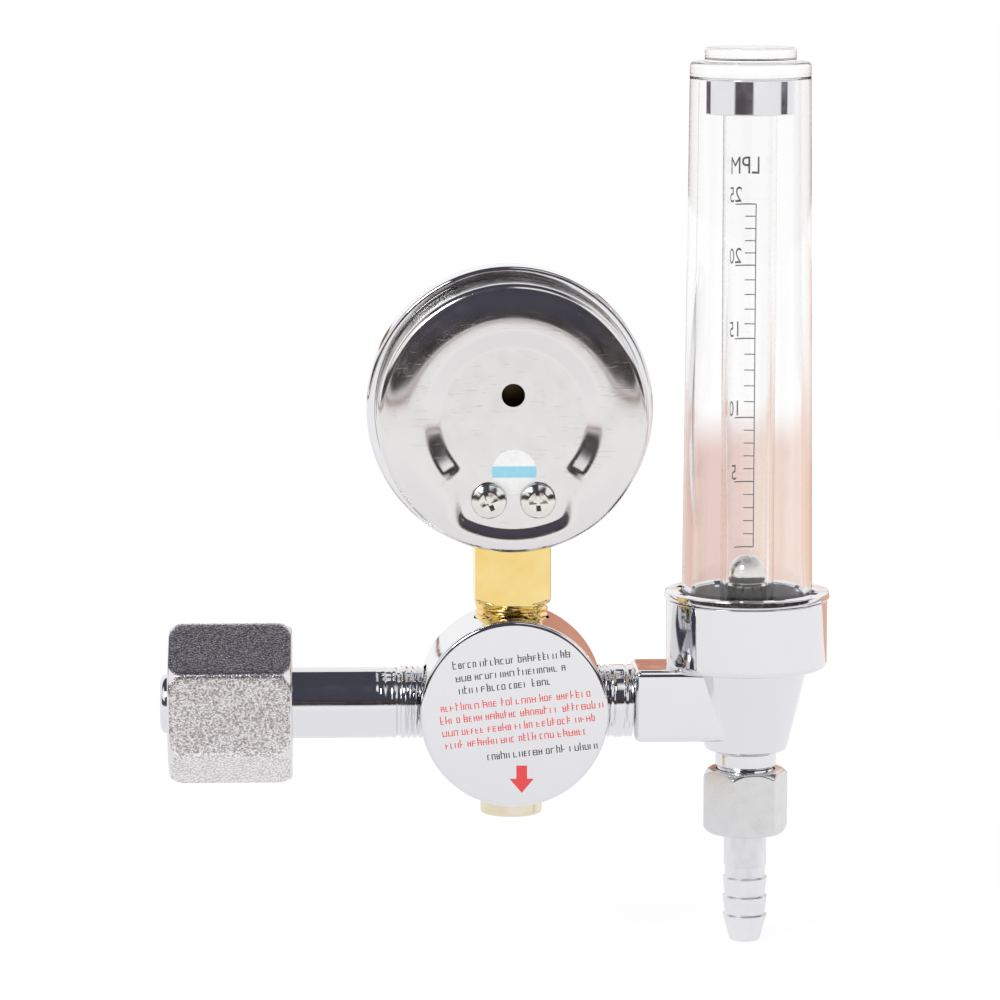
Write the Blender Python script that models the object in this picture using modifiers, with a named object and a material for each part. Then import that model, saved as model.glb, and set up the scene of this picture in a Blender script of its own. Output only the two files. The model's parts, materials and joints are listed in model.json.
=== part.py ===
"""Argon flowmeter regulator: a preset pressure regulator with an inlet nut, a round
pressure gauge and a ball flowmeter with its needle valve and hose tail.

Units are metres and +Z is up. The origin is the centre of the inlet nut's open end,
and the gas comes in along +X. The back of the gauge faces -Y and its dial faces +Y.
"""

import math

import bmesh
import bpy
from mathutils import Matrix, Vector

# Clearances: pieces that touch on the real object keep this gap.
SEAT = 0.0003

# Inlet nut and stem, on the X axis
NUT_FLATS = 0.032
NUT_LENGTH = 0.0277
NUT_END_R = 0.525 * NUT_FLATS
NUT_CHAMFER = 0.0024
NUT_THREAD_R = 0.0105
NUT_THREAD_DEPTH = 0.0125
NUT_MOUTH = 0.0010
STEM_R = 0.0080
STEM_SHOWN = 0.0284
STEM_BORE_R = 0.0028
STEM_THREAD_SHOWN = 0.0040
COLLAR_R = NUT_THREAD_R - 0.0007
COLLAR_LENGTH = 0.0030
NOSE_R = 0.0068
NOSE_REACH = 0.0020
NOSE_ROUND = 0.0024
FILTER_LENGTH = 0.0050
FILTER_EDGE = 0.0004

# Pipe threads of the inlet stem, the gauge and the outlet nipple
THREAD_R = 0.0082
THREAD_DEPTH = 0.0057
THREAD_CHAMFER = 0.0005
UNDERCUT = 0.0008

# Regulator body, a disc whose axis is Y
BODY_R = 0.021
BODY_BACK = 0.0166
BODY_FRONT = 0.0105
BODY_CHAMFER = 0.0005
BODY_X = NUT_LENGTH + STEM_SHOWN + BODY_R
PORT_BOTTOM = BODY_R - THREAD_DEPTH - SEAT
PORT_WALL = 0.0005
COUNTERBORE_R = PORT_BOTTOM - PORT_WALL
COUNTERBORE_DEPTH = 0.0040
DIAPHRAGM_LAND = 0.0035
LOW_CHAMBER_R = COUNTERBORE_R - DIAPHRAGM_LAND
LOW_CHAMBER_DEPTH = 0.0045
HIGH_CHAMBER_R = 0.0060
HIGH_CHAMBER_DEPTH = 0.0110
DIAPHRAGM_Y = BODY_FRONT - COUNTERBORE_DEPTH
LOW_CHAMBER_Y = DIAPHRAGM_Y - LOW_CHAMBER_DEPTH
HIGH_CHAMBER_Y = LOW_CHAMBER_Y - HIGH_CHAMBER_DEPTH
LOW_PASSAGE_Y = DIAPHRAGM_Y - LOW_CHAMBER_DEPTH / 2
HIGH_PASSAGE_Y = LOW_CHAMBER_Y - 0.0065
PASSAGE_R = 0.0013

# Pressure valve inside the body
NOZZLE_BORE_R = 0.0015
NOZZLE_FLANGE_R = HIGH_CHAMBER_R + 0.0012
NOZZLE_FLANGE = 0.0013
NOZZLE_LENGTH = 0.0037
NOZZLE_SEAT_WIDTH = 0.0006
VALVE_LIFT = 0.0005
POPPET_R = NOZZLE_BORE_R + 0.0013
POPPET_HEAD = 0.0020
POPPET_PIN_R = NOZZLE_BORE_R - 0.0005
POPPET_SPRING_R = 0.0020
POPPET_WIRE_R = 0.0003
POPPET_SPRING_TURNS = 3
DIAPHRAGM_THICK = 0.0010
PUSHER_R = LOW_CHAMBER_R - 0.0040
PUSHER_THICK = 0.0009
PUSHER_EDGE = 0.0003

# Bonnet on the front of the body, with the preset spring inside
BONNET_COLLAR_R = BODY_R - 0.0034
BONNET_COLLAR = 0.0037
BONNET_R = BONNET_COLLAR_R - 0.0018
BONNET_LENGTH = 0.0205
BONNET_DOME = 0.0040
BONNET_BORE_R = LOW_CHAMBER_R
BONNET_END = 0.0035
SPRING_PLATE_R = BONNET_BORE_R - 0.0015
SPRING_PLATE_THICK = 0.0016
RANGE_SPRING_R = SPRING_PLATE_R - 0.0023
RANGE_WIRE_R = 0.0009
RANGE_SPRING_TURNS = 5
PRESET_SCREW_R = 0.0040
PRESET_SCREW_PROUD = 0.0010
PRESET_SCREW_INSIDE = 0.0012
PRESET_SCREW_EDGE = 0.0005
PRESET_SLOT = 0.0010

# Safety valve under the body
RELIEF_Y = LOW_PASSAGE_Y - 0.00225
RELIEF_CAP_R = 0.0070
RELIEF_PROUD = 0.0047
RELIEF_EDGE = 0.0006
RELIEF_SPOTFACE = 0.0014
RELIEF_THREAD_R = RELIEF_CAP_R - 0.0015
RELIEF_THREAD = 0.0042
RELIEF_BORE_R = RELIEF_THREAD_R - 0.0019
RELIEF_FLOOR = 0.0015
RELIEF_VENT_R = 0.0016
RELIEF_POPPET_THICK = 0.0018
RELIEF_PIN_R = 0.0012
RELIEF_PIN = 0.0025
RELIEF_SPRING_R = 0.0025
RELIEF_WIRE_R = 0.00035
RELIEF_SPRING_TURNS = 3

# Pressure gauge: socket, case and dial work. Its axis is Y, above the body.
CASE_R = 0.0302
CASE_WALL = 0.0007
CASE_CORNER = 0.0018
CASE_CROWN = 0.0014
CASE_CROWN_R = 0.745 * CASE_R
GAUGE_THREAD_SHOWN = 0.0024
GAUGE_NECK = 0.0141
GAUGE_Z = BODY_R + GAUGE_NECK + CASE_R
SOCKET_FLATS = 0.017
SOCKET_CORNER = 0.0009
SOCKET_CHAMFER_R = 0.0098
SOCKET_CHAMFER = 0.0012
SOCKET_TOP_BELOW = 0.414 * CASE_R
CASE_NOTCH_HEIGHT = 0.0090
SOCKET_BORE_END = 0.0040
CASE_SCREW_APART = 0.641 * SOCKET_FLATS
CASE_SCREW_R = 0.0017
CASE_SCREW_LENGTH = 0.0060
CASE_SCREW_TIP = 0.0002
CASE_SCREW_HEAD_R = 0.0041
CASE_SCREW_HEAD = 0.0024
CROSS_SLOT = 0.0011
CROSS_REACH = 0.0022
CROSS_DEPTH = 0.0012
RECESS_DEPTH = 0.0018
RECESS_R = 0.52 * CASE_R
RECESS_MARGIN = 0.00185
RECESS_HALF_WIDTH = CASE_SCREW_APART / 2 + CASE_SCREW_HEAD_R + RECESS_MARGIN
RECESS_SLOPE = 0.0046
RECESS_FOOT_SLOPE = 0.0037
RECESS_RIM = 0.0002
RECESS_FOOT_R = CASE_R - CASE_CORNER - RECESS_RIM - RECESS_FOOT_SLOPE
CASE_SCREW_BELOW = RECESS_FOOT_R - 0.0063
VENT_R = 0.0026
VENT_ABOVE = 0.0053
BEZEL_R = CASE_R + 0.0022
BEZEL_LIP_R = CASE_R - 0.0024
BEZEL_GRIP = 0.0058
BEZEL_LIP = 0.0020
BEZEL_ROUND = 0.0016
WINDOW_THICK = 0.0020
DIAL_R = CASE_R - CASE_WALL - 0.0012
DIAL_THICK = 0.0005
DIAL_BEHIND = 0.0028
DIAL_STAND = 0.0021
DIAL_BORE_R = 0.0016
DIAL_SCREW_R = 0.0007
DIAL_SCREW_HEAD_R = 0.0013
DIAL_SCREW_HEAD = 0.0006
DIAL_SCREW_APART = 0.0130
POINTER_LENGTH = 0.795 * DIAL_R
POINTER_TAIL = 0.283 * DIAL_R
POINTER_WIDTH = 0.0016
POINTER_HUB_R = 0.0022
POINTER_THICK = 0.0006
POINTER_REST = -45.0
POINTER_AHEAD = 0.0009

# Gauge movement: pinion and sector mesh at their pitch circles
GEAR_MODULE = 0.01325 * CASE_R
PINION_TEETH = 10
SECTOR_FULL_TEETH = 40
SECTOR_TEETH = 12
SECTOR_START_TEETH = 4
GEAR_THICK = 0.0010
GEAR_BACK = 0.0046
SPINDLE_R = 0.0007
PLATE_THICK = 0.0008
BACK_PLATE_Y = 0.0028
FRONT_PLATE_Y = SOCKET_FLATS / 2 + SEAT
FRONT_PLATE_FOOT = 0.0060
PLATE_HALF_WIDTH = 0.414 * CASE_R
PLATE_TOP = 0.232 * CASE_R
SECTOR_PIVOT_ANGLE = -25.0
PILLAR_R = 0.0011
BOURDON_RADIUS = 0.679 * CASE_R
BOURDON_DEPTH = 0.0030
BOURDON_HALF_THICK = 0.0012
BOURDON_SWEEP = 235.0
DIAL_Y = FRONT_PLATE_Y + PLATE_THICK + DIAL_STAND
POINTER_Y = DIAL_Y + DIAL_THICK + POINTER_AHEAD
CASE_FRONT = DIAL_Y + DIAL_BEHIND
BACK_INSIDE = SOCKET_FLATS / 2 + SEAT

# Outlet nipple and the flowmeter body
NIPPLE_SHOWN = 0.0063
NIPPLE_TAIL_R = THREAD_R - 0.0025
NIPPLE_TAIL = 0.0070
NIPPLE_BORE_R = 0.0020
ARM_LENGTH = 0.0258
ARM_HEIGHT = 2 * THREAD_R
ARM_DEPTH = 0.0174
ARM_ROUND = 0.0015
ARM_X = BODY_X + BODY_R + NIPPLE_SHOWN
FLOW_X = ARM_X + ARM_LENGTH
CUP_R = 0.0181
CUP_BOTTOM = 0.0078
CUP_HEIGHT = 0.0155
CUP_WALL = 0.0015
CUP_FLOOR = 0.0030
CUP_ROUND = 0.0014
CONE_TOP_R = CUP_R - 0.0043
CONE_BOTTOM_R = 0.0092
CONE_BOTTOM = -0.0112
CONE_ROUND = 0.0012
BOSS_R = 0.0074
BOSS_FRONT = CUP_R - 0.0031
FEED_R = 0.0014
CUP_TOP = CUP_BOTTOM + CUP_HEIGHT
CUP_BORE_R = CUP_R - CUP_WALL
CUP_FLOOR_Z = CUP_BOTTOM + CUP_FLOOR

# Clear cover, its ring nut and the metering tube
COVER_BASE_R = CUP_BORE_R - 0.00185
COVER_TOP_R = COVER_BASE_R - 0.00125
COVER_WALL = 0.0020
COVER_HEIGHT = 0.1312
COVER_FLANGE = 0.0023
COVER_ROOF = 0.0033
COVER_EDGE = 0.0006
COVER_KNOB_R = COVER_TOP_R - 0.0033
COVER_KNOB = 0.0032
SEAL_THICK = 0.0013
SEAL_WIDTH = 0.0030
RING_R = CUP_R + 0.0006
RING_THICK = 0.0015
RING_BEVEL = 0.0005
RING_NOTCHES = 8
RING_NOTCH_WIDTH = 0.0027
RING_NOTCH_DEPTH = 0.0012
RING_NOTCH_REACH = 0.0014
TUBE_R = 0.0060
TUBE_BORE_LOW_R = TUBE_R - 0.0014
TUBE_BORE_TOP_R = TUBE_R - 0.0008
TUBE_RECESS = 0.0053
TUBE_SEAL_THICK = 0.0012
BUSH_R = COVER_TOP_R - COVER_WALL - 0.0017
BUSH_HEIGHT = 0.0080
BUSH_GRIP = 0.0035
BUSH_BORE_R = 0.0030
BUSH_EDGE = 0.0003
BALL_R = TUBE_BORE_LOW_R - 0.0003
BALL_SEAT_HEIGHT = 0.0193
BALL_SEAT_LIP = 0.0003
BALL_SEAT_BORE_R = 0.0015
COVER_Z = CUP_FLOOR_Z + SEAL_THICK + 2 * SEAT
FLANGE_TOP = COVER_Z + COVER_FLANGE
ROOF_Z = COVER_Z + COVER_HEIGHT - COVER_ROOF
TUBE_Z = CUP_FLOOR_Z - TUBE_RECESS + TUBE_SEAL_THICK + 2 * SEAT
BALL_SEAT_TOP = TUBE_Z + BALL_SEAT_HEIGHT
BUSH_Z = ROOF_Z - SEAT - BUSH_HEIGHT
TUBE_TOP = BUSH_Z + BUSH_GRIP - SEAT

# Needle valve on the front of the flowmeter body
GLAND_THREAD_R = 0.0042
GLAND_THREAD = 0.0065
GLAND_FLATS = 0.0110
GLAND_HEAD = 0.0040
CHAMBER_R = 0.0030
CHAMBER_BACK = 0.0025
NEEDLE_SEAT_R = 0.0011
NEEDLE_R = 0.0017
NEEDLE_CONE = 0.0040
NEEDLE_TIP_R = 0.0004
NEEDLE_TAPPING = 0.0060
PACKING_THICK = 0.0015
KNOB_R = 0.0100
KNOB_LENGTH = 0.0118
KNOB_AHEAD = 0.0012
KNOB_FLUTES = 16
KNOB_FLUTE_DEPTH = 0.0006
KNOB_CHAMFER = 0.0010
KNOB_POCKET_R = 0.0042
KNOB_POCKET = 0.0030
KNOB_WEB = 0.0030
KNOB_SCREW_R = 0.0010
KNOB_SCREW_HEAD_R = 0.0026
KNOB_SCREW_HEAD = 0.0014

# Outlet under the flowmeter: adapter, hex nut and hose tail
ADAPTER_R = 0.0069
ADAPTER_NECK = 0.0033
ADAPTER_EDGE = 0.0003
ADAPTER_TOP_THREAD_R = 0.0049
ADAPTER_TOP_THREAD = 0.0050
ADAPTER_THREAD_R = 0.0064
ADAPTER_BORE_R = 0.0021
OUTLET_NUT_FLATS = 0.017
OUTLET_NUT_HEIGHT = 0.0146
OUTLET_NUT_DROP = 0.0045
OUTLET_NUT_FLOOR = 0.0037
OUTLET_NUT_END_R = OUTLET_NUT_FLATS / 2
OUTLET_NUT_CHAMFER = 0.0014
OUTLET_NUT_TURN = 7.2
OUTLET_NUT_TOP = CONE_BOTTOM - OUTLET_NUT_DROP
OUTLET_NUT_BASE = OUTLET_NUT_TOP - OUTLET_NUT_HEIGHT
TAIL_HEAD_R = ADAPTER_THREAD_R - 0.0003
TAIL_HEAD = 0.0025
TAIL_R = 0.0048
TAIL_PLAIN = 0.0075
TAIL_NECK_R = TAIL_R - 0.0003
TAIL_NECK = 0.0027
TAIL_BARB_R = TAIL_R + 0.0002
TAIL_BARB_STEP = 0.0003
TAIL_BARB_PITCH = 0.0043
TAIL_BARBS = 3
TAIL_TIP_R = 0.0034
TAIL_TIP = 0.0061
TAIL_TIP_ROUND = 0.0003
TAIL_BORE_R = 0.0024
TAIL_TOP = OUTLET_NUT_BASE + OUTLET_NUT_FLOOR + SEAT + TAIL_HEAD

# How far a cutter stands out of what it cuts
PROUD = 0.0010

# How many sides a round piece gets
FINE = 40
ROUND = 30
NUT_STEPS = 24
MIDDLE = 20
SMALL = 14
TINY = 8

# Directions that a turned piece's own Z axis can take
TOWARDS = {
    "+X": (0, math.pi / 2, 0),
    "-X": (0, -math.pi / 2, 0),
    "+Y": (-math.pi / 2, 0, 0),
    "-Y": (math.pi / 2, 0, 0),
    "+Z": (0, 0, 0),
    "-Z": (math.pi, 0, 0),
}

PARTS = None
CUTTERS = None
MATERIALS = {}


# Scene, materials and general helpers


def start_scene():
    """Empties the scene and makes the two collections and the materials."""
    global PARTS, CUTTERS
    for obj in list(bpy.data.objects):
        bpy.data.objects.remove(obj, do_unlink=True)
    PARTS = bpy.data.collections.new("argon_flowmeter_regulator")
    CUTTERS = bpy.data.collections.new("cutters")
    for made in (PARTS, CUTTERS):
        bpy.context.scene.collection.children.link(made)
    finishes = {
        "chrome": ((0.80, 0.80, 0.82), 0.08, 1.0, 1.0),
        "satin_nickel": ((0.70, 0.69, 0.68), 0.32, 1.0, 1.0),
        "pressed_steel": ((0.78, 0.77, 0.76), 0.16, 1.0, 1.0),
        "brass": ((0.86, 0.66, 0.30), 0.25, 1.0, 1.0),
        "aluminium": ((0.86, 0.86, 0.87), 0.30, 1.0, 1.0),
        "steel": ((0.56, 0.56, 0.58), 0.30, 1.0, 1.0),
        "clear_plastic": ((0.95, 0.96, 0.97), 0.04, 0.0, 0.25),
        "glass": ((0.95, 0.97, 0.97), 0.02, 0.0, 0.20),
        "black_plastic": ((0.03, 0.03, 0.03), 0.35, 0.0, 1.0),
        "rubber": ((0.05, 0.05, 0.05), 0.80, 0.0, 1.0),
        "white_enamel": ((0.90, 0.90, 0.88), 0.45, 0.0, 1.0),
        "black_enamel": ((0.02, 0.02, 0.02), 0.40, 0.0, 1.0),
    }
    for name, (colour, roughness, metallic, alpha) in finishes.items():
        made = bpy.data.materials.new(name)
        made.use_nodes = True
        shader = made.node_tree.nodes["Principled BSDF"]
        shader.inputs["Base Color"].default_value = (*colour, 1.0)
        shader.inputs["Roughness"].default_value = roughness
        shader.inputs["Metallic"].default_value = metallic
        shader.inputs["Alpha"].default_value = alpha
        MATERIALS[name] = made


def add(name, data, finish, at=(0, 0, 0), towards="+Z"):
    """Puts mesh or curve data in the scene as a part, or as a cutter where finish is None."""
    obj = bpy.data.objects.new(name, data)
    obj.location = at
    obj.rotation_euler = TOWARDS[towards]
    if finish is None:
        CUTTERS.objects.link(obj)
        obj.hide_render = True
        obj.display_type = "WIRE"
    else:
        PARTS.objects.link(obj)
        data.materials.append(MATERIALS[finish])
    return obj


def smooth(obj, angle=35.0):
    """Shades a made mesh smooth where its faces meet at less than this angle."""
    obj.data.shade_smooth()
    obj.data.set_sharp_from_angle(angle=math.radians(angle))
    return obj


def mesh_from(name, form):
    mesh = bpy.data.meshes.new(name)
    bmesh.ops.recalc_face_normals(form, faces=form.faces)
    form.to_mesh(mesh)
    form.free()
    return mesh


def turned(name, profile, finish, at=(0, 0, 0), towards="+Z", steps=ROUND):
    """A turned piece from (radius, height) points that run down its outer side.

    Where both ends lie on the axis the piece is solid there, and otherwise the
    profile closes on itself, as a ring's section does.
    """
    last = len(profile) - 1
    edges = [(i, i + 1) for i in range(last)]
    if profile[0][0] > 0 or profile[last][0] > 0:
        edges.append((last, 0))
    mesh = bpy.data.meshes.new(name)
    mesh.from_pydata([(r, 0, z) for r, z in profile], edges, [])
    obj = add(name, mesh, finish, at, towards)
    screw = obj.modifiers.new("turn", "SCREW")
    screw.axis = "Z"
    screw.steps = steps
    screw.render_steps = steps
    screw.use_merge_vertices = True
    screw.merge_threshold = 0.00002
    screw.use_smooth_shade = finish is not None
    return obj


def arc(centre, radius, start, end, points):
    """Points on an arc of a profile, with its angles in degrees from +radius."""
    turn = [start + (end - start) * i / (points - 1) for i in range(points)]
    return [
        (
            centre[0] + radius * math.cos(math.radians(a)),
            centre[1] + radius * math.sin(math.radians(a)),
        )
        for a in turn
    ]


def ring_section(outer, inner, low, high):
    return [(outer, high), (outer, low), (inner, low), (inner, high)]


def rod_section(radius, low, high):
    return [(0, high), (radius, high), (radius, low), (0, low)]


def boolean(obj, operation, *others):
    for other in others:
        made = obj.modifiers.new(f"{operation.lower()}_{other.name}", "BOOLEAN")
        made.operation = operation
        made.solver = "EXACT"
        made.object = other
    return obj


def cut(obj, *cutters):
    return boolean(obj, "DIFFERENCE", *cutters)


def drill(name, radius, start, end, steps=TINY):
    """A round cutter from one point to another."""
    form = bmesh.new()
    run = Vector(end) - Vector(start)
    bmesh.ops.create_cone(
        form,
        cap_ends=True,
        segments=steps,
        radius1=radius,
        radius2=radius,
        depth=run.length,
    )
    turn = run.to_track_quat("Z", "Y").to_matrix()
    bmesh.ops.rotate(form, verts=form.verts, matrix=turn)
    bmesh.ops.translate(form, verts=form.verts, vec=(Vector(start) + Vector(end)) / 2)
    return add(name, mesh_from(name, form), None)


def block(name, low, high, finish=None):
    """A box between two corners."""
    form = bmesh.new()
    bmesh.ops.create_cube(form, size=1)
    size = Vector(high) - Vector(low)
    bmesh.ops.scale(form, verts=form.verts, vec=size)
    bmesh.ops.translate(form, verts=form.verts, vec=(Vector(low) + Vector(high)) / 2)
    return add(name, mesh_from(name, form), finish)


def prism(name, sides, flats, low, high, finish, corner=0.0, turn=0.0, **where):
    """A bar with a flat that faces its own +Y, or is turned from there towards +X."""
    form = bmesh.new()
    radius = flats / 2 / math.cos(math.pi / sides)
    bmesh.ops.create_cone(
        form,
        cap_ends=True,
        segments=sides,
        radius1=radius,
        radius2=radius,
        depth=high - low,
    )
    bmesh.ops.translate(form, verts=form.verts, vec=(0, 0, (low + high) / 2))
    spin = Matrix.Rotation(math.radians(180 / sides - turn), 3, "Z")
    bmesh.ops.rotate(form, verts=form.verts, matrix=spin)
    if corner:
        upright = [e for e in form.edges if abs(e.verts[0].co.z - e.verts[1].co.z) > 1e-6]
        bmesh.ops.bevel(form, geom=upright, offset=corner, segments=1, affect="EDGES")
    return add(name, mesh_from(name, form), finish, **where)


def slab(name, outline, low, high, finish, **where):
    """A flat piece: the outline's points in X and Y, from low to high in Z."""
    form = bmesh.new()
    face = form.faces.new([form.verts.new((x, y, low)) for x, y in outline])
    risen = bmesh.ops.extrude_face_region(form, geom=[face])["geom"]
    moved = [v for v in risen if isinstance(v, bmesh.types.BMVert)]
    bmesh.ops.translate(form, verts=moved, vec=(0, 0, high - low))
    return add(name, mesh_from(name, form), finish, **where)


def loft(name, loops, finish, cap_start, cap_end, **where):
    """Joins rings of as many points each with quads, and closes the ends asked for."""
    form = bmesh.new()
    rings = [[form.verts.new(p) for p in loop] for loop in loops]
    count = len(rings[0])
    for lower, upper in zip(rings, rings[1:]):
        for i in range(count):
            j = (i + 1) % count
            form.faces.new((lower[i], lower[j], upper[j], upper[i]))
    if cap_start:
        form.faces.new(rings[0])
    if cap_end:
        form.faces.new(rings[-1])
    return add(name, mesh_from(name, form), finish, **where)


def coil(name, radius, wire, length, turns, finish, at, towards, points=8):
    """A compression spring along its own +Z, from the outer faces of its end turns."""
    rise = length - 2 * wire
    data = bpy.data.curves.new(name, "CURVE")
    data.dimensions = "3D"
    data.bevel_depth = wire
    data.bevel_resolution = 1
    data.use_fill_caps = True
    total = int(turns * points)
    line = data.splines.new("POLY")
    line.points.add(total)
    for i in range(total + 1):
        angle = 2 * math.pi * i / points
        line.points[i].co = (
            radius * math.cos(angle),
            radius * math.sin(angle),
            wire + rise * i / total,
            1,
        )
    return add(name, data, finish, at, towards)


def hexagon_nut(name, flats, length, end_r, chamfer, finish, bore, **where):
    """A hex nut along its own +Z, with turned chamfers at both ends and a turned bore."""
    turn = where.pop("turn", 0.0)
    nut = prism(name, 6, flats, 0, length, finish, turn=turn, **where)
    corner = flats / math.sqrt(3)
    ends = turned(
        name + "_ends",
        [
            (0, length),
            (end_r, length),
            (corner + chamfer / 4, length - chamfer),
            (corner + chamfer / 4, chamfer),
            (end_r, 0),
            (0, 0),
        ],
        None,
        steps=NUT_STEPS,
        **where,
    )
    hole = turned(name + "_bore", bore, None, steps=NUT_STEPS, **where)
    boolean(nut, "INTERSECT", ends)
    return cut(nut, hole)


# Inlet


def inlet_nut():
    """The hex nut that draws the nose into the cylinder valve. Its own +Z is +X."""
    outside = NUT_LENGTH + NUT_MOUTH
    bore = [
        (0, outside),
        (STEM_R + SEAT, outside),
        (STEM_R + SEAT, NUT_THREAD_DEPTH),
        (NUT_THREAD_R, NUT_THREAD_DEPTH),
        (NUT_THREAD_R, NUT_MOUTH),
        (NUT_THREAD_R + 2 * NUT_MOUTH, -NUT_MOUTH),
        (0, -NUT_MOUTH),
    ]
    return hexagon_nut(
        "inlet_nut",
        NUT_FLATS,
        NUT_LENGTH,
        NUT_END_R,
        NUT_CHAMFER,
        "satin_nickel",
        bore,
        towards="+X",
    )


def inlet_stem():
    """Bullet nose, collar and tube in one turned piece, screwed into the body."""
    end = BODY_X - PORT_BOTTOM - SEAT
    shown = BODY_X - BODY_R
    collar_back = NUT_THREAD_DEPTH - SEAT
    collar_front = collar_back - COLLAR_LENGTH
    thread_start = shown - STEM_THREAD_SHOWN
    bore = STEM_BORE_R
    profile = [
        (bore, end),
        (THREAD_R - THREAD_CHAMFER, end),
        (THREAD_R, end - THREAD_CHAMFER),
        (THREAD_R, thread_start),
        (STEM_R - UNDERCUT / 2, thread_start - UNDERCUT / 4),
        (STEM_R - UNDERCUT / 2, thread_start - UNDERCUT),
        (STEM_R, thread_start - 1.5 * UNDERCUT),
        (STEM_R, collar_back),
        (COLLAR_R, collar_back),
        (COLLAR_R, collar_front),
        (NOSE_R, collar_front),
    ]
    profile += arc((NOSE_R - NOSE_ROUND, NOSE_ROUND - NOSE_REACH), NOSE_ROUND, 0, -90, 4)
    profile += [(bore, -NOSE_REACH)]
    return turned("inlet_stem", profile, "chrome", towards="+X", steps=MIDDLE)


def inlet_filter():
    """Sintered bronze plug in the mouth of the stem."""
    low = -NOSE_REACH + SEAT
    profile = [
        (0, low + FILTER_LENGTH),
        (STEM_BORE_R - SEAT, low + FILTER_LENGTH),
        (STEM_BORE_R - SEAT, low + FILTER_EDGE),
        (STEM_BORE_R - SEAT - FILTER_EDGE, low),
        (0, low),
    ]
    return turned("inlet_filter", profile, "brass", towards="+X", steps=SMALL)


# Regulator body, valve and bonnet


def regulator_body():
    """The disc with its four ports, stepped front bore and gas passages."""
    here = (BODY_X, 0, 0)
    body = turned(
        "regulator_body",
        [
            (0, BODY_FRONT),
            (BODY_R - BODY_CHAMFER, BODY_FRONT),
            (BODY_R, BODY_FRONT - BODY_CHAMFER),
            (BODY_R, BODY_CHAMFER - BODY_BACK),
            (BODY_R - BODY_CHAMFER, -BODY_BACK),
            (0, -BODY_BACK),
        ],
        "chrome",
        here,
        "+Y",
        FINE,
    )
    front_bore = turned(
        "front_bore",
        [
            (0, BODY_FRONT + PROUD),
            (COUNTERBORE_R, BODY_FRONT + PROUD),
            (COUNTERBORE_R, DIAPHRAGM_Y),
            (LOW_CHAMBER_R, DIAPHRAGM_Y),
            (LOW_CHAMBER_R, LOW_CHAMBER_Y),
            (HIGH_CHAMBER_R, LOW_CHAMBER_Y),
            (HIGH_CHAMBER_R, HIGH_CHAMBER_Y),
            (0, HIGH_CHAMBER_Y),
        ],
        None,
        here,
        "+Y",
    )
    out = BODY_R + PROUD
    port = THREAD_R + SEAT
    relief_seat = BODY_R - RELIEF_SPOTFACE
    relief_bottom = relief_seat - RELIEF_THREAD - SEAT
    cutters = [front_bore]
    for name, radius, start, end in (
        ("inlet_port", port, (-out, 0, 0), (-PORT_BOTTOM, 0, 0)),
        ("outlet_port", port, (out, 0, 0), (PORT_BOTTOM, 0, 0)),
        ("gauge_port", port, (0, 0, out), (0, 0, PORT_BOTTOM)),
        (
            "relief_spotface",
            RELIEF_CAP_R + SEAT,
            (0, RELIEF_Y, -out),
            (0, RELIEF_Y, -relief_seat),
        ),
        (
            "relief_port",
            RELIEF_THREAD_R + SEAT,
            (0, RELIEF_Y, -out),
            (0, RELIEF_Y, -relief_bottom),
        ),
    ):
        where = Vector(here)
        cutters.append(drill(name, radius, where + Vector(start), where + Vector(end), MIDDLE))
    middle_high = HIGH_CHAMBER_R - PROUD
    middle_low = LOW_CHAMBER_R - PROUD
    for name, start, end in (
        (
            "inlet_passage",
            (-PORT_BOTTOM - PROUD, HIGH_PASSAGE_Y, 0),
            (-middle_high, HIGH_PASSAGE_Y, 0),
        ),
        (
            "gauge_passage",
            (0, HIGH_PASSAGE_Y, PORT_BOTTOM + PROUD),
            (0, HIGH_PASSAGE_Y, middle_high),
        ),
        (
            "outlet_passage",
            (PORT_BOTTOM + PROUD, LOW_PASSAGE_Y, 0),
            (middle_low, LOW_PASSAGE_Y, 0),
        ),
        (
            "relief_passage",
            (0, RELIEF_Y, -relief_bottom - PROUD),
            (0, RELIEF_Y, -middle_low),
        ),
    ):
        where = Vector(here)
        cutters.append(drill(name, PASSAGE_R, where + Vector(start), where + Vector(end)))
    return cut(body, *cutters)


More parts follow.
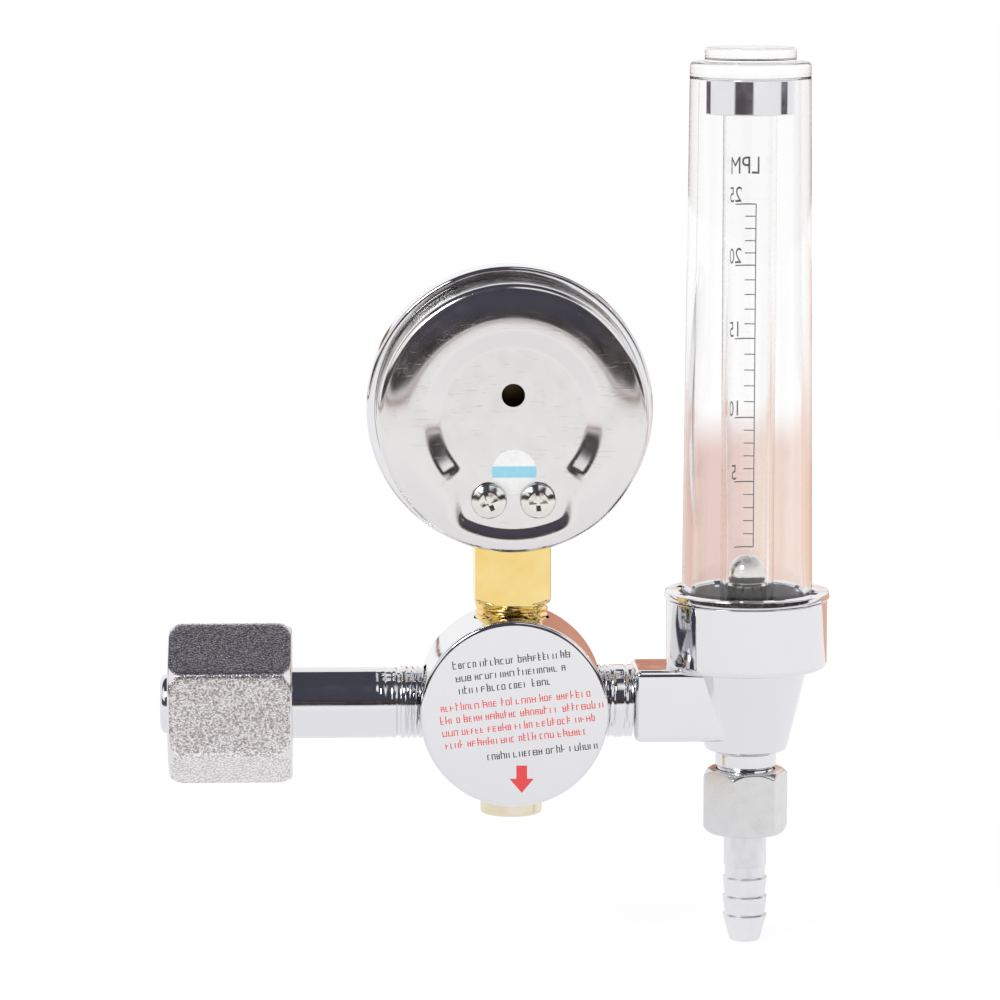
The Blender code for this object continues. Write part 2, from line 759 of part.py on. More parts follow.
def pressure_valve():
    """Nozzle, poppet and its spring, behind the diaphragm. Own +Z is +Y."""
    here = (BODY_X, 0, 0)
    flange_low = LOW_CHAMBER_Y + SEAT
    nozzle_low = flange_low - NOZZLE_LENGTH
    seat_low = nozzle_low - NOZZLE_SEAT_WIDTH
    nozzle = [
        (NOZZLE_BORE_R, flange_low + NOZZLE_FLANGE),
        (NOZZLE_FLANGE_R, flange_low + NOZZLE_FLANGE),
        (NOZZLE_FLANGE_R, flange_low),
        (HIGH_CHAMBER_R - SEAT, flange_low),
        (HIGH_CHAMBER_R - SEAT, nozzle_low),
        (NOZZLE_BORE_R + 2 * NOZZLE_SEAT_WIDTH, nozzle_low),
        (NOZZLE_BORE_R + NOZZLE_SEAT_WIDTH, seat_low),
        (NOZZLE_BORE_R, seat_low),
    ]
    turned("valve_nozzle", nozzle, "brass", here, "+Y", SMALL)
    head_top = seat_low - VALVE_LIFT - SEAT
    pin_top = DIAPHRAGM_Y - PUSHER_THICK - SEAT
    poppet = [
        (0, pin_top),
        (POPPET_PIN_R, pin_top),
        (POPPET_PIN_R, head_top),
        (POPPET_R, head_top),
        (POPPET_R, head_top - POPPET_HEAD),
        (POPPET_PIN_R, head_top - POPPET_HEAD),
        (POPPET_PIN_R, head_top - POPPET_HEAD - POPPET_WIRE_R * 2),
        (0, head_top - POPPET_HEAD - POPPET_WIRE_R * 2),
    ]
    turned("valve_poppet", poppet, "brass", here, "+Y", SMALL)
    spring_top = head_top - POPPET_HEAD - SEAT
    spring_low = HIGH_CHAMBER_Y + SEAT
    coil(
        "poppet_spring",
        POPPET_SPRING_R,
        POPPET_WIRE_R,
        spring_top - spring_low,
        POPPET_SPRING_TURNS,
        "steel",
        (BODY_X, spring_low, 0),
        "+Y",
    )


def diaphragm_parts():
    """Diaphragm clamped under the bonnet, with the pusher and the spring plate."""
    here = (BODY_X, 0, 0)
    low = DIAPHRAGM_Y + SEAT
    high = low + DIAPHRAGM_THICK
    turned(
        "diaphragm",
        rod_section(COUNTERBORE_R - SEAT, low, high),
        "rubber",
        here,
        "+Y",
    )
    turned(
        "diaphragm_pusher",
        [
            (0, DIAPHRAGM_Y),
            (PUSHER_R - PUSHER_EDGE, DIAPHRAGM_Y),
            (PUSHER_R, DIAPHRAGM_Y - PUSHER_EDGE),
            (PUSHER_R, DIAPHRAGM_Y - PUSHER_THICK),
            (0, DIAPHRAGM_Y - PUSHER_THICK),
        ],
        "brass",
        here,
        "+Y",
        SMALL,
    )
    plate = high + SEAT
    turned(
        "spring_plate",
        [
            (0, plate + 2 * SPRING_PLATE_THICK),
            (RANGE_SPRING_R - 2 * RANGE_WIRE_R, plate + 2 * SPRING_PLATE_THICK),
            (RANGE_SPRING_R - 2 * RANGE_WIRE_R, plate + SPRING_PLATE_THICK),
            (SPRING_PLATE_R, plate + SPRING_PLATE_THICK),
            (SPRING_PLATE_R, plate),
            (0, plate),
        ],
        "steel",
        here,
        "+Y",
        SMALL,
    )
    return high + SEAT


def bonnet_parts(clamp):
    """Bonnet, preset spring, its button and the slotted preset screw."""
    here = (BODY_X, 0, 0)
    seat = BODY_FRONT + SEAT
    end = seat + BONNET_LENGTH
    cavity_end = end - BONNET_END
    profile = [(PRESET_SCREW_R + SEAT, end)]
    profile += arc((BONNET_R - BONNET_DOME, end - BONNET_DOME), BONNET_DOME, 90, 0, 3)
    profile += [
        (BONNET_R, seat + BONNET_COLLAR),
        (BONNET_COLLAR_R, seat + BONNET_COLLAR),
        (BONNET_COLLAR_R, seat),
        (COUNTERBORE_R - SEAT, seat),
        (COUNTERBORE_R - SEAT, clamp),
        (BONNET_BORE_R, clamp),
        (BONNET_BORE_R, cavity_end),
        (PRESET_SCREW_R + SEAT, cavity_end),
    ]
    turned("bonnet", profile, "chrome", here, "+Y")
    spring_low = clamp + SPRING_PLATE_THICK + SEAT
    button_high = cavity_end - PRESET_SCREW_INSIDE
    button_low = button_high - SPRING_PLATE_THICK
    coil(
        "range_spring",
        RANGE_SPRING_R,
        RANGE_WIRE_R,
        button_low - SEAT - spring_low,
        RANGE_SPRING_TURNS,
        "steel",
        (BODY_X, spring_low, 0),
        "+Y",
    )
    turned(
        "spring_button",
        rod_section(SPRING_PLATE_R, button_low, button_high),
        "steel",
        here,
        "+Y",
        SMALL,
    )
    top = end + PRESET_SCREW_PROUD
    screw = turned(
        "preset_screw",
        [
            (0, top),
            (PRESET_SCREW_R - PRESET_SCREW_EDGE, top),
            (PRESET_SCREW_R, top - PRESET_SCREW_EDGE),
            (PRESET_SCREW_R, button_high + SEAT),
            (0, button_high + SEAT),
        ],
        "brass",
        here,
        "+Y",
        SMALL,
    )
    half = PRESET_SLOT / 2
    reach = PRESET_SCREW_R + PROUD
    slot = block(
        "preset_slot",
        (BODY_X - reach, top - 1.5 * PRESET_SLOT, -half),
        (BODY_X + reach, top + PROUD, half),
    )
    cut(screw, slot)


def safety_valve():
    """Brass relief cap under the body, with its poppet and spring."""
    here = (BODY_X, RELIEF_Y, 0)
    seat = -(BODY_R - RELIEF_SPOTFACE) - SEAT
    top = seat + RELIEF_THREAD
    bottom = -BODY_R - RELIEF_PROUD
    floor = bottom + RELIEF_FLOOR
    turned(
        "relief_body",
        [
            (RELIEF_BORE_R, top),
            (RELIEF_THREAD_R, top),
            (RELIEF_THREAD_R, seat),
            (RELIEF_CAP_R, seat),
            (RELIEF_CAP_R, bottom + RELIEF_EDGE),
            (RELIEF_CAP_R - RELIEF_EDGE, bottom),
            (RELIEF_VENT_R, bottom),
            (RELIEF_VENT_R, floor),
            (RELIEF_BORE_R, floor),
        ],
        "brass",
        here,
        steps=MIDDLE,
    )
    face = -(BODY_R - RELIEF_SPOTFACE - RELIEF_THREAD - SEAT) - SEAT
    back = face - RELIEF_POPPET_THICK
    turned(
        "relief_poppet",
        [
            (0, face),
            (RELIEF_BORE_R - SEAT, face),
            (RELIEF_BORE_R - SEAT, back),
            (RELIEF_PIN_R, back),
            (RELIEF_PIN_R, back - RELIEF_PIN),
            (0, back - RELIEF_PIN),
        ],
        "brass",
        here,
        steps=SMALL,
    )
    coil(
        "relief_spring",
        RELIEF_SPRING_R,
        RELIEF_WIRE_R,
        back - SEAT - floor - SEAT,
        RELIEF_SPRING_TURNS,
        "steel",
        (BODY_X, RELIEF_Y, floor + SEAT),
        "+Z",
    )


# Pressure gauge


def gauge_socket():
    """Square brass socket: threaded foot, turned chamfer and the block in the case."""
    here = (BODY_X, 0, 0)
    low = BODY_R + GAUGE_THREAD_SHOWN
    high = GAUGE_Z - SOCKET_TOP_BELOW
    socket = prism("gauge_socket", 4, SOCKET_FLATS, low, high, "brass", SOCKET_CORNER, at=here)
    far = SOCKET_FLATS
    chamfer = turned(
        "socket_chamfer",
        [
            (0, high + PROUD),
            (far, high + PROUD),
            (far, low + SOCKET_CHAMFER * (far - SOCKET_CHAMFER_R) / (far / 2 * 1.34 - SOCKET_CHAMFER_R)),
            (SOCKET_CHAMFER_R, low),
            (0, low),
        ],
        None,
        here,
        steps=MIDDLE,
    )
    foot_low = PORT_BOTTOM + SEAT
    foot = [
        (0, low + PROUD),
        (THREAD_R, low + PROUD),
        (THREAD_R, foot_low + THREAD_CHAMFER),
        (THREAD_R - THREAD_CHAMFER, foot_low),
        (0, foot_low),
    ]
    thread = turned("socket_thread", foot, None, here, steps=MIDDLE)
    boolean(socket, "INTERSECT", chamfer)
    boolean(socket, "UNION", thread)
    bore_top = high - SOCKET_BORE_END
    cutters = [
        drill(
            "socket_bore",
            PASSAGE_R,
            (BODY_X, 0, foot_low - PROUD),
            (BODY_X, 0, bore_top),
        )
    ]
    for side in (-1, 1):
        x = BODY_X + side * CASE_SCREW_APART / 2
        z = GAUGE_Z - CASE_SCREW_BELOW
        cutters.append(
            drill(
                f"socket_tapping_{side}",
                CASE_SCREW_R + SEAT,
                (x, -SOCKET_FLATS, z),
                (x, SEAT + CASE_SCREW_LENGTH - BACK_INSIDE, z),
            )
        )
    return cut(socket, *cutters)


def recess_edge(angle, radius, half_width, foot_radius):
    """How far out the keyhole recess reaches at an angle measured from straight down."""
    side = abs(math.sin(angle))
    if math.cos(angle) <= 0 or side * radius >= half_width:
        return radius
    return min(foot_radius, half_width / max(side, 1e-9))


def case_angles():
    """Angles round the case, with one at each corner of the recess."""
    corners = [
        math.asin(RECESS_HALF_WIDTH / RECESS_FOOT_R),
        math.asin(RECESS_HALF_WIDTH / RECESS_R),
        math.asin((RECESS_HALF_WIDTH + RECESS_SLOPE) / (RECESS_FOOT_R + RECESS_FOOT_SLOPE)),
        math.asin((RECESS_HALF_WIDTH + RECESS_SLOPE) / (RECESS_R + RECESS_SLOPE)),
    ]
    step = 2 * math.pi / FINE
    angles = [i * step for i in range(FINE)]
    for corner in corners:
        for wanted in (corner, 2 * math.pi - corner):
            nearest = min(range(FINE), key=lambda i: abs(angles[i] - wanted))
            angles[nearest] = wanted
    return angles


def gauge_case():
    """Pressed steel case: a crowned back with the keyhole recess, and a plain wall."""
    here = (BODY_X, 0, GAUGE_Z)
    recess_y = -BACK_INSIDE - CASE_WALL
    back_y = recess_y - RECESS_DEPTH
    inner_corner = CASE_R - CASE_CORNER
    corner_y = back_y + CASE_CROWN
    angles = case_angles()

    def crown(radius):
        share = (radius - CASE_CROWN_R) / (inner_corner - CASE_CROWN_R)
        return back_y + CASE_CROWN * max(0.0, share) ** 1.5

    def ring(radius_of, depth_of):
        made = []
        for angle in angles:
            radius = radius_of(angle)
            made.append(
                (radius * math.sin(angle), depth_of(radius), -radius * math.cos(angle))
            )
        return made

    def slope(angle, share):
        near = recess_edge(angle, RECESS_R, RECESS_HALF_WIDTH, RECESS_FOOT_R)
        far = recess_edge(
            angle,
            RECESS_R + RECESS_SLOPE,
            RECESS_HALF_WIDTH + RECESS_SLOPE,
            RECESS_FOOT_R + RECESS_FOOT_SLOPE,
        )
        return near + (far - near) * share

    loops = []
    for share in (0.0, 0.3, 0.7, 1.0):
        ease = share * share * (3 - 2 * share)
        loops.append(
            ring(
                lambda a: slope(a, share),
                lambda r: recess_y + (crown(r) - recess_y) * ease,
            )
        )
    for radius, drop in arc((inner_corner, corner_y + CASE_CORNER), CASE_CORNER, -90, 0, 3):
        loops.append(ring(lambda a: radius, lambda r: drop))
    loops.append(ring(lambda a: CASE_R, lambda r: CASE_FRONT))
    case = loft("gauge_case", loops, "pressed_steel", True, False, at=here)
    shell = case.modifiers.new("sheet", "SOLIDIFY")
    shell.thickness = CASE_WALL
    shell.offset = -1
    shell.use_even_offset = True
    vent_z = GAUGE_Z + VENT_ABOVE
    cutters = [
        drill("vent_hole", VENT_R, (BODY_X, -CASE_R, vent_z), (BODY_X, 0, vent_z), SMALL)
    ]
    for side in (-1, 1):
        x = BODY_X + side * CASE_SCREW_APART / 2
        z = GAUGE_Z - CASE_SCREW_BELOW
        cutters.append(
            drill(f"case_hole_{side}", CASE_SCREW_R + SEAT, (x, -CASE_R, z), (x, 0, z))
        )
    half = SOCKET_FLATS / 2 + SEAT
    cutters.append(
        block(
            "case_notch",
            (BODY_X - half, -half, GAUGE_Z - CASE_R - CASE_CORNER),
            (BODY_X + half, half, GAUGE_Z - CASE_R + CASE_NOTCH_HEIGHT),
        )
    )
    return cut(case, *cutters)


def cross_screw(name, at, towards, radius, length, head_r, head, slot, reach, depth, finish):
    """Domed cross-head screw. Its shank runs along its own +Z from under the head."""
    crown = head * 0.55
    profile = [
        (0, length),
        (radius - CASE_SCREW_TIP, length),
        (radius, length - CASE_SCREW_TIP),
        (radius, 0),
        (head_r, 0),
        (head_r, crown - head),
        (head_r * 0.72, -head * 0.86),
        (0, -head),
    ]
    screw = turned(name, profile, finish, at, towards, SMALL)
    if not slot:
        return screw
    for part, wide, tall in (("across", reach, slot / 2), ("upright", slot / 2, reach)):
        cutter = block(
            f"{name}_{part}",
            (at[0] - wide, at[1] - head - PROUD, at[2] - tall),
            (at[0] + wide, at[1] - head + depth, at[2] + tall),
        )
        cut(screw, cutter)
    return screw


def case_screws():
    """The two screws that hold the case to the socket."""
    face = -BACK_INSIDE - CASE_WALL - SEAT
    for side, word in ((-1, "left"), (1, "right")):
        cross_screw(
            f"case_screw_{word}",
            (BODY_X + side * CASE_SCREW_APART / 2, face, GAUGE_Z - CASE_SCREW_BELOW),
            "+Y",
            CASE_SCREW_R,
            CASE_SCREW_LENGTH,
            CASE_SCREW_HEAD_R,
            CASE_SCREW_HEAD,
            CROSS_SLOT,
            CROSS_REACH,
            CROSS_DEPTH,
            "steel",
        )


def gauge_front():
    """Bezel, window and dial. Own +Z is +Y."""
    here = (BODY_X, 0, GAUGE_Z)
    window_low = CASE_FRONT + SEAT
    window_high = window_low + WINDOW_THICK
    lip_low = window_high + SEAT
    end = lip_low + BEZEL_LIP
    back = CASE_FRONT - BEZEL_GRIP
    bezel = []
    bezel += arc((BEZEL_R - BEZEL_ROUND, end - BEZEL_ROUND), BEZEL_ROUND, 90, 0, 3)
    bezel += [
        (BEZEL_R, back + BEZEL_ROUND / 2),
        (BEZEL_R - BEZEL_ROUND / 2, back),
        (CASE_R + SEAT, back),
        (CASE_R + SEAT, lip_low),
        (BEZEL_LIP_R, lip_low),
        (BEZEL_LIP_R, end - BEZEL_ROUND / 2),
    ]
    turned("gauge_bezel", bezel, "chrome", here, "+Y", FINE)
    turned(
        "gauge_window",
        rod_section(CASE_R, window_low, window_high),
        "glass",
        here,
        "+Y",
        FINE,
    )
    dial = turned(
        "gauge_dial",
        ring_section(DIAL_R, DIAL_BORE_R, DIAL_Y, DIAL_Y + DIAL_THICK),
        "white_enamel",
        here,
        "+Y",
        MIDDLE,
    )
    for side in (-1, 1):
        x = BODY_X + side * DIAL_SCREW_APART / 2
        cut(
            dial,
            drill(
                f"dial_hole_{side}",
                DIAL_SCREW_R + SEAT,
                (x, DIAL_Y - PROUD, GAUGE_Z),
                (x, DIAL_Y + PROUD, GAUGE_Z),
                TINY,
            ),
        )


def dial_screws():
    """The two small screws that hold the dial to the movement's front plate."""
    top = DIAL_Y + DIAL_THICK + SEAT + DIAL_SCREW_HEAD
    low = FRONT_PLATE_Y + PLATE_THICK / 2
    for side, word in ((-1, "left"), (1, "right")):
        turned(
            f"dial_screw_{word}",
            [
                (0, top),
                (DIAL_SCREW_HEAD_R, top - DIAL_SCREW_HEAD / 2),
                (DIAL_SCREW_HEAD_R, top - DIAL_SCREW_HEAD),
                (DIAL_SCREW_R, top - DIAL_SCREW_HEAD),
                (DIAL_SCREW_R, low),
                (0, low),
            ],
            "steel",
            (BODY_X + side * DIAL_SCREW_APART / 2, 0, GAUGE_Z),
            "+Y",
            TINY,
        )


def gear_outline(teeth, full, module, middle, hub=None):
    """Points of a spur gear, or of a sector with an arm to its pivot.

    The teeth are straight-sided, thinned for backlash, and counted evenly about the
    angle given in middle. A sector is closed round its hub.
    """
    pitch = full * module / 2
    tip = pitch + 0.6 * module
    root = pitch - 1.4 * module
    step = 2 * math.pi / full
    points = []
    for i in range(teeth):
        centre = middle + (i - (teeth - 1) / 2) * step
        for radius, offset in (
            (root, -0.24),
            (tip, -0.07),
            (tip, 0.07),
            (root, 0.24),
        ):
            angle = centre + offset * step
            points.append((radius * math.cos(angle), radius * math.sin(angle)))
    if hub:
        back = middle + math.pi
        for share in (-0.9, -0.45, 0, 0.45, 0.9):
            angle = back + share * math.pi / 2
            points.append((hub * math.cos(angle), hub * math.sin(angle)))
    return points


def movement():
    """Plates, pinion spindle with the pointer, and the toothed sector. Own +Z is +Y.

    In a piece's own frame x is the object's X and y is the object's -Z.
    """
    here = (BODY_X, 0, GAUGE_Z)
    pivot_angle = -math.radians(SECTOR_PIVOT_ANGLE)
    reach = (PINION_TEETH + SECTOR_FULL_TEETH) * GEAR_MODULE / 2
    pivot = (reach * math.cos(pivot_angle), reach * math.sin(pivot_angle))
    gear_high = GEAR_BACK + GEAR_THICK
    front_low = FRONT_PLATE_Y
    foot = SOCKET_TOP_BELOW - SEAT
    width = PLATE_HALF_WIDTH
    hole = SPINDLE_R + SEAT
    inset = 2 * PILLAR_R
    pillars = ((inset - width, inset - PLATE_TOP), (inset - width, foot - inset))
    pillars += ((0.0, inset - PLATE_TOP),)
    back_plate = slab(
        "movement_back_plate",
        [(-width, -PLATE_TOP), (width, -PLATE_TOP), (width, foot), (-width, foot)],
        BACK_PLATE_Y,
        BACK_PLATE_Y + PLATE_THICK,
        "brass",
        at=here,
        towards="+Y",
    )
    front_foot = SOCKET_TOP_BELOW + FRONT_PLATE_FOOT
    front_plate = slab(
        "movement_front_plate",
        [(-width, -PLATE_TOP), (width, -PLATE_TOP), (width, front_foot), (-width, front_foot)],
        front_low,
        front_low + PLATE_THICK,
        "brass",
        at=here,
        towards="+Y",
    )
    for i, (x, y) in enumerate(pillars):
        post = turned(
            f"pillar_{i}",
            rod_section(PILLAR_R, BACK_PLATE_Y + PLATE_THICK / 2, front_low - SEAT),
            None,
            (BODY_X + x, 0, GAUGE_Z - y),
            "+Y",
            TINY,
        )
        boolean(back_plate, "UNION", post)
    for side in (-1, 1):
        x = BODY_X + side * DIAL_SCREW_APART / 2
        stand = turned(
            f"dial_stand_{side}",
            rod_section(2 * DIAL_SCREW_R, front_low + PLATE_THICK / 2, DIAL_Y - SEAT),
            None,
            (x, 0, GAUGE_Z),
            "+Y",
            TINY,
        )
        boolean(front_plate, "UNION", stand)
    for side in (-1, 1):
        x = BODY_X + side * DIAL_SCREW_APART / 2
        tapped = drill(
            f"dial_tapping_{side}",
            DIAL_SCREW_R + SEAT,
            (x, front_low + PLATE_THICK / 2 - SEAT, GAUGE_Z),
            (x, DIAL_Y + PROUD, GAUGE_Z),
            TINY,
        )
        cut(front_plate, tapped)
    for name, x, y in (("spindle", 0.0, 0.0), ("sector", *pivot)):
        place = (BODY_X + x, 0, GAUGE_Z - y)
        low = (place[0], BACK_PLATE_Y - PROUD, place[2])
        high = (place[0], front_low + PLATE_THICK + PROUD, place[2])
        bearing = drill(f"{name}_bearing", hole, low, high, TINY)
        cut(back_plate, bearing)
        cut(front_plate, bearing)
    spindle = turned(
        "pointer_spindle",
        rod_section(SPINDLE_R, BACK_PLATE_Y - SEAT, POINTER_Y - SEAT),
        "brass",
        here,
        "+Y",
        TINY,
    )
    step = 2 * math.pi / PINION_TEETH
    pinion = slab(
        "pinion",
        gear_outline(PINION_TEETH, PINION_TEETH, GEAR_MODULE, pivot_angle + step / 2),
        GEAR_BACK,
        gear_high,
        None,
        at=here,
        towards="+Y",
    )
    boolean(spindle, "UNION", pinion)
    sector = slab(
        "gauge_sector",
        gear_outline(
            SECTOR_TEETH,
            SECTOR_FULL_TEETH,
            GEAR_MODULE,
            pivot_angle + math.pi - SECTOR_START_TEETH * 2 * math.pi / SECTOR_FULL_TEETH,
            hub=2.2 * SPINDLE_R,
        ),
        GEAR_BACK,
        gear_high,
        "brass",
        at=(BODY_X + pivot[0], 0, GAUGE_Z - pivot[1]),
        towards="+Y",
    )
    arbor = turned(
        "sector_arbor",
        rod_section(SPINDLE_R, BACK_PLATE_Y - SEAT, front_low + PLATE_THICK),
        None,
        (BODY_X + pivot[0], 0, GAUGE_Z - pivot[1]),
        "+Y",
        TINY,
    )
    boolean(sector, "UNION", arbor)


def pointer():
    """Flat tapered pointer with a round hub, at its zero mark. Own +Z is +Y."""
    half = POINTER_WIDTH / 2
    outline = [
        (POINTER_LENGTH, -half / 4),
        (POINTER_LENGTH, half / 4),
        (POINTER_HUB_R, half),
        (-POINTER_TAIL, 1.6 * half),
        (-POINTER_TAIL, -1.6 * half),
        (POINTER_HUB_R, -half),
    ]
    angle = math.radians(POINTER_REST)
    turn = [
        (
            x * math.cos(angle) + y * math.sin(angle),
            y * math.cos(angle) - x * math.sin(angle),
        )
        for x, y in outline
    ]
    here = (BODY_X, 0, GAUGE_Z)
    needle = slab(
        "gauge_pointer",
        turn[::-1],
        POINTER_Y,
        POINTER_Y + POINTER_THICK,
        "black_enamel",
        at=here,
        towards="+Y",
    )
    hub = turned(
        "pointer_hub",
        rod_section(POINTER_HUB_R, POINTER_Y - SEAT / 2, POINTER_Y + 1.5 * POINTER_THICK),
        None,
        here,
        "+Y",
        SMALL,
    )
    return boolean(needle, "UNION", hub)


def bourdon_tube():
    """Flattened C-shaped tube that starts at the side of the socket block."""
    data = bpy.data.curves.new("bourdon_tube", "CURVE")
    data.dimensions = "3D"
    data.bevel_depth = BOURDON_HALF_THICK
    data.bevel_resolution = 1
    data.use_fill_caps = True
    beside = SOCKET_FLATS / 2 + SEAT + BOURDON_HALF_THICK / 2
    start = -math.asin(beside / BOURDON_RADIUS)
    count = 22
    line = data.splines.new("POLY")
    line.points.add(count)
    first = -math.pi / 2 + start
    for i in range(count + 1):
        angle = first - math.radians(BOURDON_SWEEP) * i / count
        line.points[i].co = (
            BOURDON_RADIUS * math.cos(angle),
            0,
            BOURDON_RADIUS * math.sin(angle),
            1,
        )
    tube = add("bourdon_tube", data, "brass", (BODY_X, 0, GAUGE_Z))
    tube.scale = (1, BOURDON_DEPTH / BOURDON_HALF_THICK, 1)
    return tube


# Flowmeter body


def outlet_nipple():
    """Stepped nipple between the body's outlet port and the flowmeter's arm."""
    here = (BODY_X, 0, 0)
    low = PORT_BOTTOM + SEAT
    face = ARM_X - BODY_X - SEAT
    high = face + NIPPLE_TAIL
    profile = [
        (NIPPLE_BORE_R, high),
        (NIPPLE_TAIL_R, high),
        (NIPPLE_TAIL_R, face),
        (THREAD_R, face),
        (THREAD_R, low + THREAD_CHAMFER),
        (THREAD_R - THREAD_CHAMFER, low),
        (NIPPLE_BORE_R, low),
    ]
    return turned("outlet_nipple", profile, "chrome", here, "+X", MIDDLE)


def flowmeter_body():
    """One casting: cup, cone, arm and valve boss, with its bores and passages."""
    here = (FLOW_X, 0, 0)
    profile = [(0, CUP_TOP), (CUP_R, CUP_TOP)]
    profile += arc((CUP_R - CUP_ROUND, CUP_BOTTOM + CUP_ROUND), CUP_ROUND, 0, -90, 3)
    profile += [(CONE_TOP_R, CUP_BOTTOM)]
    cone_corner = (CONE_BOTTOM_R - CONE_ROUND, CONE_BOTTOM + CONE_ROUND)
    profile += arc(cone_corner, CONE_ROUND, -10, -90, 3)
    profile += [(0, CONE_BOTTOM)]
    body = turned("flowmeter_body", profile, "chrome", here)
    arm = block(
        "arm",
        (ARM_X, -ARM_DEPTH / 2, -ARM_HEIGHT / 2),
        (FLOW_X, ARM_DEPTH / 2, ARM_HEIGHT / 2),
    )
    rounding = arm.modifiers.new("round", "BEVEL")
    rounding.width = ARM_ROUND
    rounding.segments = 2
    boss = drill("valve_boss", BOSS_R, (FLOW_X, 0, 0), (FLOW_X, BOSS_FRONT, 0), MIDDLE)
    boolean(body, "UNION", arm, boss)
    recess = CUP_FLOOR_Z - TUBE_RECESS
    cup = turned(
        "cup_bore",
        [
            (0, CUP_TOP + PROUD),
            (CUP_BORE_R, CUP_TOP + PROUD),
            (CUP_BORE_R, CUP_FLOOR_Z),
            (TUBE_R + SEAT, CUP_FLOOR_Z),
            (TUBE_R + SEAT, recess),
            (FEED_R, recess),
            (FEED_R, -FEED_R / 4),
            (0, -FEED_R / 4),
        ],
        None,
        here,
    )
    valve_out = BOSS_FRONT + PROUD
    valve = turned(
        "valve_bore",
        [
            (0, valve_out),
            (GLAND_THREAD_R + SEAT, valve_out),
            (GLAND_THREAD_R + SEAT, BOSS_FRONT - GLAND_THREAD - PACKING_THICK - 2 * SEAT),
            (CHAMBER_R, BOSS_FRONT - GLAND_THREAD - PACKING_THICK - 2 * SEAT),
            (CHAMBER_R, CHAMBER_BACK),
            (NEEDLE_SEAT_R, CHAMBER_BACK),
            (NEEDLE_SEAT_R, -FEED_R / 2),
            (0, -FEED_R / 2),
        ],
        None,
        here,
        "+Y",
        SMALL,
    )
    tail_end = ARM_X + NIPPLE_TAIL
    outlet_top = CONE_BOTTOM + ADAPTER_TOP_THREAD + SEAT
    gallery_out = (CUP_BORE_R + TUBE_R) / 2
    cutters = [
        cup,
        valve,
        drill("arm_port", NIPPLE_TAIL_R + SEAT, (ARM_X - PROUD, 0, 0), (tail_end, 0, 0), MIDDLE),
        drill(
            "arm_passage",
            PASSAGE_R,
            (tail_end - PROUD, LOW_PASSAGE_Y, 0),
            (FLOW_X - CHAMBER_R / 2, LOW_PASSAGE_Y, 0),
        ),
        drill(
            "outlet_bore",
            ADAPTER_TOP_THREAD_R + SEAT,
            (FLOW_X, 0, CONE_BOTTOM - PROUD),
            (FLOW_X, 0, outlet_top),
            MIDDLE,
        ),
        drill(
            "return_passage",
            PASSAGE_R,
            (FLOW_X + gallery_out, 0, CUP_FLOOR_Z + PROUD),
            (FLOW_X + ADAPTER_TOP_THREAD_R / 2, 0, outlet_top - PROUD),
        ),
    ]
    return cut(body, *cutters)


def cover_ring():
    """Ring nut that clamps the clear cover, with spanner notches round its bore."""
    here = (FLOW_X, 0, 0)
    rim_low = CUP_TOP + SEAT
    rim_high = rim_low + RING_THICK
    bore = COVER_BASE_R + SEAT
    sleeve = CUP_BORE_R - SEAT
    ring = turned(
        "cover_ring",
        [
            (bore + RING_BEVEL, rim_high),
            (RING_R - RING_BEVEL, rim_high),
            (RING_R, rim_high - RING_BEVEL),
            (RING_R, rim_low + RING_BEVEL),
            (RING_R - RING_BEVEL, rim_low),
            (sleeve, rim_low),
            (sleeve, FLANGE_TOP + SEAT),
            (bore, FLANGE_TOP + SEAT),
            (bore, rim_high - RING_BEVEL),
        ],
        "chrome",
        here,
    )
    for i in range(RING_NOTCHES):
        angle = 2 * math.pi * (i + 0.5) / RING_NOTCHES
        half = RING_NOTCH_WIDTH / 2
        notch = block(
            f"ring_notch_{i}",
            (bore - PROUD, -half, rim_high - RING_NOTCH_DEPTH),
            (bore + RING_NOTCH_REACH, half, rim_high + PROUD),
        )
        notch.location = here
        notch.rotation_euler = (0, 0, angle)
        cut(ring, notch)
    return ring


def clear_cover():
    """Outer cover in clear plastic: clamped flange, tapered wall, thick roof and boss."""
    here = (FLOW_X, 0, 0)
    top = ROOF_Z + COVER_ROOF
    turned(
        "outer_cover",
        [
            (0, top + COVER_KNOB),
            (COVER_KNOB_R - COVER_EDGE, top + COVER_KNOB),
            (COVER_KNOB_R, top + COVER_KNOB - COVER_EDGE),
            (COVER_KNOB_R, top),
            (COVER_TOP_R - COVER_EDGE, top),
            (COVER_TOP_R, top - COVER_EDGE),
            (COVER_TOP_R, ROOF_Z),
            (COVER_BASE_R, FLANGE_TOP),
            (CUP_BORE_R - SEAT, FLANGE_TOP),
            (CUP_BORE_R - SEAT, COVER_Z),
            (COVER_BASE_R - COVER_WALL, COVER_Z),
            (COVER_TOP_R - COVER_WALL, ROOF_Z),
            (0, ROOF_Z),
        ],
        "clear_plastic",
        here,
    )
    turned(
        "cover_seal",
        ring_section(
            CUP_BORE_R - SEAT,
            CUP_BORE_R - SEAT - SEAL_WIDTH,
            CUP_FLOOR_Z + SEAT,
            CUP_FLOOR_Z + SEAT + SEAL_THICK,
        ),
        "rubber",
        here,
        steps=MIDDLE,
    )


